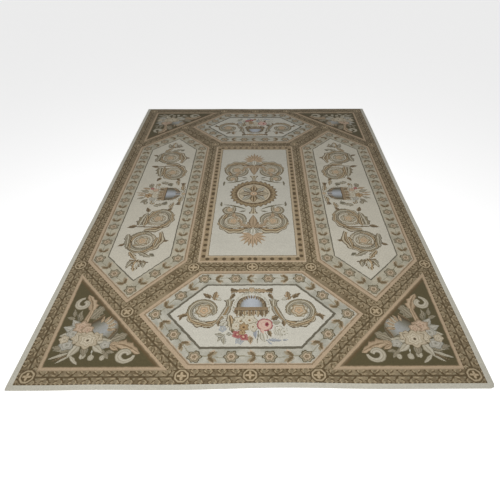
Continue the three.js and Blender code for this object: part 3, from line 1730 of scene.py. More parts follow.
GUARD_SPRIG = rings(
    (0.0, 142, 126, 98),
    (0.22, 118, 100, 71),
    (0.6, 108, 91, 63),
    (0.85, 150, 134, 107),
)
GUARD_FEATHER = rings(
    (0.0, 168, 156, 132),
    (0.4, 146, 130, 102),
    (0.9, 168, 156, 132),
)
GUARD_BLUSH = rings(
    (0.0, 190, 178, 156),
    (0.5, 198, 174, 148),
    (0.9, 190, 178, 156),
)
CHEVRON: tuple[Motif, ...] = (
    (Form.LEAF, GUARD_BLUSH, -0.010, 0.006, 62.0, 0.036, 0.022),
    (Form.LEAF, GUARD_BLUSH, -0.010, -0.006, -62.0, 0.036, 0.022),
    (Form.LEAF, GUARD_FEATHER, -0.004, 0.008, 40.0, 0.030, 0.018),
    (Form.LEAF, GUARD_FEATHER, -0.004, -0.008, -40.0, 0.030, 0.018),
    (Form.LOBED, GUARD_SPRIG, -0.018, 0.0, 50.0, 0.037, 0.025),
    (Form.LOBED, GUARD_SPRIG, -0.018, 0.0, -50.0, 0.037, 0.025),
)


@dataclass
class GuardBorder:
    """The light border round the side and end panels: stripes, rosettes, sprigs and a thin stem.

    Attributes:
        inset: How far inside the rosettes' own line the dark line round the field is.
        line: The width of that dark line.
        pitch: The usual distance from rosette to rosette.
        rosette: The radius of a rosette.
        clouds: The two tones of its ground, from the darker to the lighter.
        mottle: The fineness of these clouds.
        gap: How far to each side of a panel's middle no sprig is stitched.
        sway: How far the stem swings to each side.
        stem_half: Half the stem's width.
    """

    inset: float = 0.0395
    line: float = 0.0115
    pitch: float = 0.15
    rosette: float = 0.0335
    clouds: Stops = ((0.35, dye(171, 168, 153)), (0.62, dye(192, 188, 173)))
    mottle: float = 16.0
    gap: float = 0.035
    sway: float = 0.004
    stem_half: float = 0.0022

    def stitch(self, canvas: Canvas, outline: Outline, plain: Term) -> None:
        """Stitches the border over a panel's field.

        Args:
            canvas: The panel's design.
            outline: The panel.
            plain: 1 across the panel's middle, where the repeats meet and no sprig is stitched, else 0.
        """
        shop, folded = canvas.shop, canvas.place
        along, out = follow(shop, folded, outline.edges)
        ground = shop.ramp(shop.cloud(folded, self.mottle), self.clouds).outputs["Color"]
        inner = out > -self.inset
        canvas.fill((out > -self.inset - self.line) - inner, Wool.SLATE)
        canvas.colour = shop.blend(inner, canvas.colour, ground)
        canvas.over(
            shop.span(out, -0.05, 0.06),
            (
                (0.0, clear(Wool.PEACH.value)),
                (0.75, dye(188, 170, 146)),
                (0.782, dye(146, 126, 99)),
                (0.835, dye(188, 166, 138)),
            ),
            Look.STEPPED,
        )
        swing = shop.math("SINE", along * (2 * math.pi)) * self.sway
        canvas.fill(abs(out + swing) < self.stem_half, Wool.SAGE)
        canvas.place = shop.join(repeat(shop, along, 0.5, self.pitch) + plain, out)
        canvas.stitch(CHEVRON)
        canvas.place = shop.join(repeat(shop, along, 0.0, self.pitch), out)
        canvas.motif(Rim.STAR, GUARD_ROSETTE, Spot(0.0, 0.0, 0.0, self.rosette, self.rosette))
        canvas.place = folded

    def turn_back(self, canvas: Canvas, x: float, y: float, turn: float) -> None:
        """Stitches the single sprig at the middle of a row.

        Args:
            canvas: The panel's design.
            x: The sprig's place across the rug.
            y: Its place along the rug.
            turn: The direction away from its point, in degrees.
        """
        whole = canvas.place
        canvas.place = canvas.shop.local(whole, (x, y), turn, (1.0, 1.0))
        canvas.stitch(CHEVRON)
        canvas.place = whole


SIDE_LEAVES: tuple[Motif, ...] = (
    (Rim.FRILL, WHEEL, 0.589, 0.272, 0.0, 0.090, 0.074),
    (Rim.FRILL, WHEEL, 0.642, 0.481, 0.0, 0.086, 0.084),
    (Curl.BAND, SCROLL, 0.589, 0.272, -120.0, 0.104, -0.084),
    (Curl.FRINGE, ACANTHUS, 0.589, 0.272, -120.0, 0.104, -0.084),
    (Curl.FRINGE, ACANTHUS, 0.589, 0.272, 90.0, 0.072, -0.060),
    (Form.FLAME, ACANTHUS, 0.640, 0.250, -150.0, 0.080, 0.026, 0.016),
    (Rim.EIGHT, CREAM_BLOOM, 0.589, 0.272, 0.0, 0.045, 0.042),
    (Rim.FIVE, SCROLL_FLOWER, 0.589, 0.272, 0.0, 0.037, 0.035),
    (Form.FLAME, SCROLL, 0.690, 0.344, -92.0, 0.140, 0.070, -0.020),
    (Form.FLAME, ACANTHUS, 0.664, 0.348, -96.0, 0.120, 0.044, 0.014),
    (Form.FLAME, ACANTHUS, 0.500, 0.300, -76.0, 0.090, 0.030, -0.012),
    (Form.STEM, BROWN_BUD, 0.540, 0.361, -2.0, 0.170, 0.013),
    (Form.LEAF, BROWN_BUD, 0.700, 0.348, 4.0, 0.060, 0.032, 0.010),
    (Form.LEAF, BROWN_BUD, 0.667, 0.205, -92.0, 0.050, 0.032, 0.016),
    (Form.LEAF, BROWN_BUD, 0.541, 0.195, -108.0, 0.044, 0.026, -0.010),
    (Curl.BAND, SCROLL, 0.642, 0.481, 40.0, 0.100, 0.092),
    (Curl.FRINGE, ACANTHUS, 0.642, 0.481, 40.0, 0.100, 0.092),
    (Curl.FRINGE, ACANTHUS, 0.642, 0.481, -130.0, 0.072, 0.066),
    (Form.FLAME, ACANTHUS, 0.690, 0.520, 200.0, 0.090, 0.028, -0.016),
    (Rim.EIGHT, CREAM_BLOOM, 0.642, 0.481, 0.0, 0.045, 0.043),
    (Rim.FIVE, SCROLL_FLOWER, 0.642, 0.481, 0.0, 0.037, 0.036),
    (Form.FLAME, ACANTHUS, 0.552, 0.448, 72.0, 0.110, 0.036, 0.022),
    (Form.FLAME, SCROLL, 0.740, 0.420, 106.0, 0.130, 0.050, -0.018),
    (Form.LEAF, BROWN_BUD, 0.524, 0.482, 176.0, 0.036, 0.022, 0.008),
    (Form.LEAF, BROWN_BUD, 0.736, 0.512, 8.0, 0.042, 0.024, 0.008),
    (Form.LEAF, FERN_LEAF, 0.577, 0.588, 140.0, 0.040, 0.024),
    (Form.FLAME, SCROLL, 0.640, 0.580, 152.0, 0.084, 0.036),
    (Form.FLAME, ACANTHUS, 0.694, 0.572, 128.0, 0.088, 0.040),
    (Form.LEAF, SCROLL, 0.606, 0.640, 112.0, 0.066, 0.034, -0.010),
    (Form.LEAF, SCROLL, 0.660, 0.642, 62.0, 0.066, 0.034, 0.010),
    (Form.LOBED, ACANTHUS, 0.630, 0.636, 85.0, 0.096, 0.058),
    (Form.LEAF, PALE_LEAF, 0.630, 0.655, 84.0, 0.052, 0.022),
    (Form.STEM, BROWN_BUD, 0.680, 0.641, 170.0, 0.118, 0.010),
    (Form.LEAF, FERN_LEAF, 0.588, 0.132, -120.0, 0.046, 0.040),
    (Form.FLAME, SCROLL, 0.644, 0.142, -160.0, 0.072, 0.038),
    (Form.LEAF, ACANTHUS, 0.650, 0.126, -60.0, 0.056, 0.032),
    (Form.LEAF, SCROLL, 0.700, 0.126, -78.0, 0.054, 0.030),
    (Form.FLAME, ACANTHUS, 0.540, 0.160, -118.0, 0.062, 0.034, 0.010),
    (Form.LOBED, ACANTHUS, 0.477, 0.010, 85.0, 0.125, 0.038),
    (Form.CUP, BROWN_BUD, 0.490, 0.132, -96.0, 0.036, 0.036),
    (Form.DOME, VASE, 0.592, 0.0, 180.0, 0.100, 0.146),
    (Form.BLADE, BROWN_BUD, 0.494, 0.0, 0.0, 0.034, 0.012),
    (Form.BLADE, GOLD_LEAF, 0.497, 0.014, 8.0, 0.034, 0.012),
    (Form.BLADE, BROWN_BUD, 0.502, 0.028, 16.0, 0.034, 0.012),
    (Form.BLADE, GOLD_LEAF, 0.511, 0.041, 26.0, 0.032, 0.012),
    (Form.BLADE, BROWN_BUD, 0.523, 0.052, 38.0, 0.030, 0.012),
    (Form.BLADE, GOLD_LEAF, 0.538, 0.061, 54.0, 0.028, 0.012),
    (Curl.ARCH, PALE_LEAF, 0.600, 0.0, 180.0, 0.126, 0.086),
    (Rim.FIVE, SCROLL_FLOWER, 0.470, 0.0, 0.0, 0.018, 0.018),
    (Form.LEAF, GOLD_LEAF, 0.602, 0.010, 2.0, 0.048, 0.024),
    (Form.LEAF, ACANTHUS, 0.602, 0.030, 0.0, 0.046, 0.024),
    (Form.LEAF, BROWN_BUD, 0.602, 0.048, 4.0, 0.048, 0.022),
    (Form.LEAF, ACANTHUS, 0.602, 0.064, 10.0, 0.046, 0.022),
    (Form.BAR, GOLD_LEAF, 0.597, -0.078, 90.0, 0.156, 0.020),
    (Form.BAR, BROWN_BUD, 0.589, -0.078, 90.0, 0.156, 0.006),
    (Form.BAR, BROWN_BUD, 0.606, -0.078, 90.0, 0.156, 0.005),
)
SIDE_BOUQUET: tuple[Motif, ...] = (
    (Form.LEAF, SCROLL, 0.705, 0.020, 22.0, 0.070, 0.030),
    (Form.LEAF, PEACH_ACANTHUS, 0.702, 0.055, 16.0, 0.062, 0.026),
    (Form.LEAF, PEACH_ACANTHUS, 0.724, -0.016, 2.0, 0.060, 0.022),
    (Form.LEAF, SCROLL, 0.722, -0.040, -20.0, 0.056, 0.022),
    (Form.LEAF, FAN, 0.700, -0.060, -48.0, 0.064, 0.030),
    (Form.LEAF, FAN, 0.690, 0.070, 52.0, 0.056, 0.028),
    (Form.LEAF, PALE_LEAF, 0.650, 0.060, 70.0, 0.050, 0.026),
    (Form.LEAF, PALE_LEAF, 0.650, -0.060, -80.0, 0.050, 0.028),
    (Form.BLADE, PEACH_ACANTHUS, 0.720, 0.004, 10.0, 0.074, 0.016),
    (Rim.FIVE, PALE_BLOOM, 0.672, -0.060, 10.0, 0.022, 0.022),
    (Rim.SIX, CREAM_BLOOM, 0.660, -0.026, 0.0, 0.026, 0.026),
    (Rim.SIX, CREAM_BLOOM, 0.692, 0.022, 0.0, 0.026, 0.026),
    (Rim.SIX, CREAM_BLOOM, 0.660, 0.008, 0.0, 0.024, 0.024),
    (Rim.FIVE, PEACH_ROSE, 0.664, 0.043, 0.0, 0.024, 0.024),
    (Rim.FIVE, RED_BLOOM, 0.692, 0.062, 20.0, 0.016, 0.016),
    (Rim.SIX, GOLD_BLOOM, 0.702, -0.020, 0.0, 0.030, 0.030),
)


@dataclass
class SidePanel(Panel):
    """The two long panels beside the centre.

    Attributes:
        guard: The border round its field.
        field: The colour of its ground.
        ends: The place and direction of the single sprig where the border's rows meet.
    """

    guard: GuardBorder
    field: Colour = dye(206, 200, 183)
    ends: tuple[Triple, ...] = ((0.845, 0.0, -90.0), (0.413, 0.0, 90.0))
    title = "side_panel"

    def design(self, shop: NodeShop, needlework: Needlework, place: Socket) -> Paint:
        """Stitches scrolls, flowers and a vase on a beige field.

        Args:
            shop: The maker of the material's nodes.
            needlework: The motifs' groups.
            place: Coordinates on the cloth, in metres.

        Returns:
            The design's colour.
        """
        folded = shop.vector("ABSOLUTE", place)
        canvas = Canvas(shop, needlework, folded, self.field)
        canvas.stitch(SIDE_LEAVES)
        half = shop.join(shop.split(folded)[0], shop.split(place)[1])
        canvas.place = half
        canvas.stitch(SIDE_BOUQUET)
        canvas.place = folded
        self.guard.stitch(canvas, SIDE_PANEL, shop.split(folded)[1] < self.guard.gap)
        canvas.place = half
        for end in self.ends:
            self.guard.turn_back(canvas, *end)
        return canvas.colour


END_LEAVES: tuple[Motif, ...] = (
    (Curl.BAND, MISTY_SCROLL, 0.234, 0.996, -44.0, 0.066, 0.063),
    (Curl.BAND, SCROLL, 0.231, 0.998, -30.0, 0.080, 0.076),
    (Curl.FRINGE, ACANTHUS, 0.231, 0.998, -30.0, 0.080, 0.076),
    (Form.FLAME, ACANTHUS, 0.290, 1.046, 148.0, 0.120, 0.036, 0.034),
    (Form.FLAME, ACANTHUS, 0.176, 1.082, 12.0, 0.060, 0.024, -0.010),
    (Rim.EIGHT, CREAM_BLOOM, 0.229, 0.994, 0.0, 0.048, 0.046),
    (Rim.FIVE, SCROLL_FLOWER, 0.229, 0.994, 20.0, 0.042, 0.041),
    (Form.LEAF, BROWN_BUD, 0.206, 0.920, -68.0, 0.050, 0.028, 0.026),
    (Form.LEAF, BROWN_BUD, 0.212, 0.896, 20.0, 0.026, 0.016, 0.010),
    (Form.FLAME, GOLD_LEAF, 0.184, 0.930, -100.0, 0.058, 0.042, 0.006),
    (Form.LEAF, PALE_LEAF, 0.150, 0.930, -28.0, 0.036, 0.018),
    (Form.LEAF, BROWN_BUD, 0.304, 1.026, -20.0, 0.046, 0.026, 0.022),
    (Form.LEAF, BROWN_BUD, 0.330, 1.020, 62.0, 0.034, 0.020, 0.008),
    (Form.SHEATH, SHEATH, 0.108, 0.946, 86.0, 0.128, 0.040, -0.050),
    (Form.LEAF, BROWN_BUD, 0.150, 1.056, 82.0, 0.034, 0.022),
    (Form.CUP, SCROLL, 0.110, 0.926, 94.0, 0.046, 0.054),
    (Form.LEAF, GREY_LEAF, 0.104, 0.938, -100.0, 0.034, 0.024),
    (Form.LEAF, BROWN_BUD, 0.088, 0.884, 78.0, 0.044, 0.022, -0.010),
    (Form.LOBED, ACANTHUS, 0.010, 0.868, 2.0, 0.094, 0.036),
    (Form.CUP, BROWN_BUD, 0.106, 0.868, 182.0, 0.036, 0.040),
    (Form.BLADE, PEACH_LEAF, 0.030, 0.872, 6.0, 0.052, 0.012),
    (Form.DOME, BOWL, 0.0, 0.980, -90.0, 0.080, 0.152),
    (Form.BLADE, BROWN_BUD, 0.0, 0.898, 90.0, 0.024, 0.010),
    (Form.BLADE, GOLD_LEAF, 0.014, 0.900, 98.0, 0.024, 0.010),
    (Form.BLADE, BROWN_BUD, 0.028, 0.905, 106.0, 0.024, 0.010),
    (Form.BLADE, GOLD_LEAF, 0.041, 0.913, 116.0, 0.022, 0.010),
    (Form.BLADE, BROWN_BUD, 0.053, 0.924, 126.0, 0.022, 0.010),
    (Form.BLADE, GOLD_LEAF, 0.063, 0.936, 138.0, 0.020, 0.010),
    (Form.BLADE, BROWN_BUD, 0.071, 0.950, 152.0, 0.019, 0.010),
    (Curl.ARCH, PALE_LEAF, 0.0, 0.988, -90.0, 0.104, 0.088),
    (Rim.FIVE, SCROLL_FLOWER, 0.0, 0.864, 90.0, 0.020, 0.020),
    (Form.LEAF, GOLD_LEAF, 0.010, 0.990, 92.0, 0.048, 0.024),
    (Form.LEAF, ACANTHUS, 0.030, 0.990, 88.0, 0.046, 0.024),
    (Form.LEAF, BROWN_BUD, 0.048, 0.990, 84.0, 0.048, 0.022),
    (Form.LEAF, ACANTHUS, 0.064, 0.988, 86.0, 0.046, 0.022),
    (Form.LEAF, BROWN_BUD, 0.078, 0.988, 98.0, 0.040, 0.018, 0.008),
    (Form.BAR, GOLD_LEAF, -0.081, 0.986, 0.0, 0.162, 0.020),
    (Form.BAR, BROWN_BUD, -0.081, 0.978, 0.0, 0.162, 0.006),
    (Form.BAR, BROWN_BUD, -0.081, 0.995, 0.0, 0.162, 0.005),
)
END_BOUQUET: tuple[Motif, ...] = (
    (Form.LEAF, GREY_LEAF, -0.118, 1.130, 128.0, 0.056, 0.028),
    (Form.LEAF, GREY_LEAF, -0.126, 1.142, 196.0, 0.040, 0.026),
    (Form.LEAF, GREY_LEAF, -0.122, 1.150, 88.0, 0.040, 0.024),
    (Form.LEAF, GREY_LEAF, -0.116, 1.128, 12.0, 0.036, 0.018),
    (Form.LEAF, PALE_LEAF, -0.108, 1.058, 150.0, 0.052, 0.034),
    (Form.LEAF, PALE_LEAF, -0.108, 1.056, 110.0, 0.060, 0.034),
    (Form.LEAF, PALE_LEAF, -0.096, 1.040, 200.0, 0.048, 0.028),
    (Rim.FIVE, BLUE_BLOOM, -0.132, 1.102, 10.0, 0.019, 0.019),
    (Form.LEAF, GREY_LEAF, -0.078, 1.050, 60.0, 0.050, 0.032),
    (Form.FLAME, ACANTHUS, -0.104, 1.022, 84.0, 0.104, 0.044, -0.008),
    (Form.LEAF, BROWN_BUD, -0.090, 1.104, 60.0, 0.036, 0.018),
    (Form.LEAF, BROWN_BUD, 0.096, 1.050, -30.0, 0.042, 0.030),
    (Form.LEAF, GREY_LEAF, 0.098, 1.064, 4.0, 0.044, 0.030),
    (Rim.FIVE, PALE_LEAF, 0.130, 1.108, 0.0, 0.024, 0.024),
    (Rim.FIVE, PALE_LEAF, 0.152, 1.118, 30.0, 0.020, 0.022),
    (Form.LEAF, PALE_LEAF, 0.108, 1.104, 70.0, 0.044, 0.024),
    (Form.LEAF, PALE_LEAF, 0.138, 1.126, 96.0, 0.030, 0.018),
    (Form.LEAF, PALE_LEAF, 0.050, 1.118, 76.0, 0.066, 0.036),
    (Form.LEAF, BROWN_BUD, 0.080, 1.108, 74.0, 0.044, 0.022),
    (Form.BLADE, BLUE_LEAF, 0.078, 1.162, 4.0, 0.062, 0.022),
    (Form.BLADE, BLUE_LEAF, 0.142, 1.166, -6.0, 0.030, 0.010),
    (Form.BLADE, BLUE_LEAF, 0.068, 1.160, 46.0, 0.044, 0.010),
    (Form.BLADE, FERN_LEAF, 0.036, 1.110, 96.0, 0.076, 0.006),
    (Form.LEAF, BLUE_LEAF, 0.022, 1.104, 90.0, 0.054, 0.026),
    (Form.LEAF, PEACH_LEAF, -0.006, 1.140, 84.0, 0.048, 0.026),
    (Form.LEAF, GOLD_LEAF, 0.006, 1.146, 104.0, 0.036, 0.016),
    (Rim.FIVE, BLUE_BLOOM, -0.052, 1.170, 0.0, 0.021, 0.019),
    (Rim.SIX, CREAM_BLOOM, -0.050, 1.060, 10.0, 0.040, 0.036),
    (Rim.SIX, CREAM_BLOOM, -0.008, 1.054, 30.0, 0.042, 0.038),
    (Rim.FIVE, CREAM_BLOOM, 0.008, 1.092, 0.0, 0.032, 0.030),
    (Rim.FIVE, CREAM_BLOOM, -0.070, 1.088, 0.0, 0.026, 0.026),
    (Rim.SIX, GOLD_BLOOM, -0.034, 1.094, 0.0, 0.027, 0.027),
    (Rim.FIVE, RED_BLOOM, -0.062, 1.134, 8.0, 0.028, 0.024),
    (Rim.FIVE, RED_BLOOM, -0.034, 1.146, 40.0, 0.028, 0.022),
    (Rim.FIVE, GOLD_BLOOM, -0.040, 1.124, 0.0, 0.019, 0.015),
    (Rim.FRILL, BLUSH_ROSE, 0.064, 1.080, 0.0, 0.040, 0.038),
    (Form.LEAF, BLUSH_ROSE, 0.046, 1.098, 70.0, 0.036, 0.018),
    (Rim.FIVE, ROSE_HEART, 0.074, 1.078, 0.0, 0.010, 0.014),
)


@dataclass
class EndPanel(Panel):
    """The panels at the two ends.

    Attributes:
        guard: The border round its field.
        field: The colour of its ground.
        ends: The place and direction of the single sprig where the border's rows meet.
    """

    guard: GuardBorder
    field: Colour = dye(206, 202, 188)
    ends: tuple[Triple, ...] = ((-0.005, 0.7835, 0.0), (0.003, 1.250, 180.0))
    title = "end_panel"

    def design(self, shop: NodeShop, needlework: Needlework, place: Socket) -> Paint:
        """Stitches scrolls, a bowl and its flowers on a cream field.

        Args:
            shop: The maker of the material's nodes.
            needlework: The motifs' groups.
            place: Coordinates on the cloth, in metres.

        Returns:
            The design's colour.
        """
        folded = shop.vector("ABSOLUTE", place)
        canvas = Canvas(shop, needlework, folded, self.field)
        canvas.stitch(END_LEAVES)
        half = shop.join(shop.split(place)[0], shop.split(folded)[1])
        canvas.place = half
        canvas.stitch(END_BOUQUET)
        canvas.place = folded
        self.guard.stitch(canvas, END_PANEL, shop.split(folded)[0] < self.guard.gap)
        canvas.place = half
        for end in self.ends:
            self.guard.turn_back(canvas, *end)
        return canvas.colour


CENTRE_LEAVES: tuple[Motif, ...] = (
    (Form.BLADE, FERN_LEAF, 0.046, 0.180, -32.0, 0.160, 0.015, 0.040),
    (Form.BLADE, FERN_LEAF, 0.206, 0.152, -88.0, 0.058, 0.017),
    (Form.LEAF, FERN_LEAF, 0.046, 0.192, 14.0, 0.050, 0.014),
    (Rim.FRILL, WHEEL, 0.119, 0.298, 0.0, 0.080, 0.078),
    (Curl.BAND, SCROLL, 0.119, 0.298, -26.0, 0.094, 0.094),
    (Curl.FRINGE, ACANTHUS, 0.119, 0.298, -26.0, 0.094, 0.094),
    (Form.FLAME, ACANTHUS, 0.190, 0.276, -112.0, 0.100, 0.040, -0.010),
    (Curl.HOOK, SCROLL, 0.156, 0.182, 60.0, 0.048, 0.044),
    (Rim.FIVE, SCROLL_FLOWER, 0.150, 0.182, 0.0, 0.026, 0.026),
    (Form.FLAME, PEACH_ACANTHUS, 0.068, 0.330, -70.0, 0.100, 0.036, 0.016),
    (Rim.SIX, CREAM_BLOOM, 0.122, 0.296, 0.0, 0.046, 0.044),
    (Rim.FIVE, SCROLL_FLOWER, 0.122, 0.298, 36.0, 0.038, 0.036),
    (Form.LEAF, PEACH_ACANTHUS, 0.122, 0.262, -90.0, 0.050, 0.030),
    (Form.LOBED, PEACH_ACANTHUS, 0.006, 0.362, -20.0, 0.084, 0.048),
    (Form.BLADE, BROWN_BUD, -0.010, 0.370, -2.0, 0.110, 0.014),
    (Form.LEAF, GREY_LEAF, 0.014, 0.372, 36.0, 0.056, 0.022),
    (Form.LEAF, GREY_LEAF, 0.008, 0.372, 62.0, 0.062, 0.024),
    (Form.LEAF, PALE_LEAF, 0.0, 0.368, 90.0, 0.068, 0.034),
    (Form.LEAF, PEACH_LEAF, 0.004, 0.366, -62.0, 0.070, 0.030),
    (Form.LEAF, PEACH_ACANTHUS, 0.0, 0.364, -90.0, 0.132, 0.060),
    (Form.LEAF, PEACH_LEAF, 0.006, 0.430, -14.0, 0.066, 0.026),
    (Form.LEAF, PEACH_LEAF, 0.006, 0.432, 14.0, 0.078, 0.026),
    (Form.LEAF, PEACH_LEAF, 0.004, 0.432, 38.0, 0.090, 0.026),
    (Form.LEAF, PEACH_LEAF, 0.002, 0.432, 58.0, 0.098, 0.026),
    (Form.LEAF, PEACH_LEAF, 0.0, 0.430, 76.0, 0.104, 0.026),
    (Form.LEAF, PEACH_LEAF, 0.0, 0.428, 90.0, 0.118, 0.022),
    (Form.BELL, ACANTHUS, 0.0, 0.224, -90.0, 0.104, 0.058),
)
MEDALLION_LEAVES: tuple[Motif, ...] = (
    (Form.LEAF, GREY_LEAF, 0.014, 0.014, 45.0, 0.088, 0.050),
    (Form.LEAF, ACANTHUS, 0.0, 0.022, 90.0, 0.082, 0.046),
    (Form.LEAF, ACANTHUS, 0.022, 0.0, 0.0, 0.082, 0.046),
    (Form.LEAF, BROWN_BUD, 0.010, 0.024, 67.0, 0.046, 0.016),
    (Form.LEAF, BROWN_BUD, 0.024, 0.010, 23.0, 0.046, 0.016),
    (Rim.EIGHT, BROWN_BUD, 0.0, 0.0, 0.0, 0.032, 0.032),
    (Rim.ROUND, PEACH_BLOOM, 0.0, 0.0, 0.0, 0.024, 0.024),
)


@dataclass
class CentrePanel(Panel):
    """The middle panel, with its round medallion.

    Attributes:
        field: The colour of its ground.
        ring: The outer radius of the medallion's leafy ring.
        disc: The radius of the disc inside it.
        bead: The radius of a bead in the border.
        slant: How far a leaf of the ring leans over from its base to its tip, in leaves.
        rib_at: The distance of the leaves' ribs from the middle, as a share of the ring's radius.
        rib: A rib's half width, as a share of a leaf's, and its half length, as a share of the radius.
    """

    field: Colour = dye(202, 198, 184)
    ring: float = 0.164
    disc: float = 0.112
    bead: float = 0.013
    slant: float = 2.2
    rib_at: float = 0.83
    rib: Pair = (0.30, 0.12)
    title = "centre_panel"

    def design(self, shop: NodeShop, needlework: Needlework, place: Socket) -> Paint:
        """Stitches the medallion, leaves and scrolls, and a beaded border.

        Args:
            shop: The maker of the material's nodes.
            needlework: The motifs' groups.
            place: Coordinates on the cloth, in metres.

        Returns:
            The design's colour.
        """
        canvas = Canvas(shop, needlework, shop.vector("ABSOLUTE", place), self.field)
        canvas.stitch(CENTRE_LEAVES)
        self._medallion(canvas)
        self._border(canvas)
        return canvas.colour

    def _medallion(self, canvas: Canvas) -> None:
        """Stitches the leafy ring and the disc with its rosette.

        Args:
            canvas: The panel's design.
        """
        shop = canvas.shop
        radius, turn = canvas.polar(Spot(0.0, 0.0, 0.0, self.ring, self.ring))
        rim = shop.curve(turn, Rim.FRILL.value)
        dark, brown, light = dye(98, 81, 54), dye(128, 109, 79), dye(174, 153, 119)
        canvas.over(
            radius / rim,
            (
                (0.0, dark),
                (0.72, dark),
                (0.80, brown),
                (0.90, light),
                (0.94, brown),
                (0.98, dark),
                (1.0, clear(dark)),
            ),
        )
        leaf = shop.math("FRACT", turn * FRILL_LOBES - radius * self.slant)
        rib = shop.length(shop.join((leaf - 0.5) / self.rib[0], (radius - self.rib_at) / self.rib[1]))
        canvas.over(rib, ((0.0, dye(172, 154, 122)), (0.5, dye(146, 126, 94)), (1.0, clear(brown))))
        share = self.disc / self.ring
        pale, tan = dye(204, 190, 164), dye(184, 168, 140)
        canvas.over(
            radius / share,
            (
                (0.0, dye(172, 158, 132)),
                (0.55, tan),
                (0.84, dye(196, 184, 158)),
                (0.88, dye(124, 106, 78)),
                (0.90, pale),
                (0.97, pale),
                (0.99, dye(110, 92, 64)),
                (1.0, clear(dark)),
            ),
        )
        canvas.stitch(MEDALLION_LEAVES)

    def _border(self, canvas: Canvas) -> None:
        """Stitches the stripes and beads round the field.

        Args:
            canvas: The panel's design.
        """
        shop = canvas.shop
        along, out = follow(shop, canvas.place, CENTRE_PANEL.edges)
        dark = dye(114, 97, 70)
        canvas.over(
            shop.span(out, -0.03, 0.03),
            (
                (0.0, clear(dark)),
                (0.03, dark),
                (0.09, dye(184, 166, 137)),
                (0.30, dye(160, 140, 109)),
                (0.72, Wool.PEACH.value),
                (0.80, dye(196, 176, 148)),
            ),
            Look.STEPPED,
        )
        pitch = CENTRE_PANEL.edges[0].pitch
        bead = shop.length(shop.join(repeat(shop, along, 0.5, pitch), out)) / self.bead
        rim = dye(90, 74, 50)
        canvas.over(bead, ((0.0, dye(96, 80, 54)), (0.6, dye(92, 76, 50)), (0.8, rim), (1.0, clear(rim))))


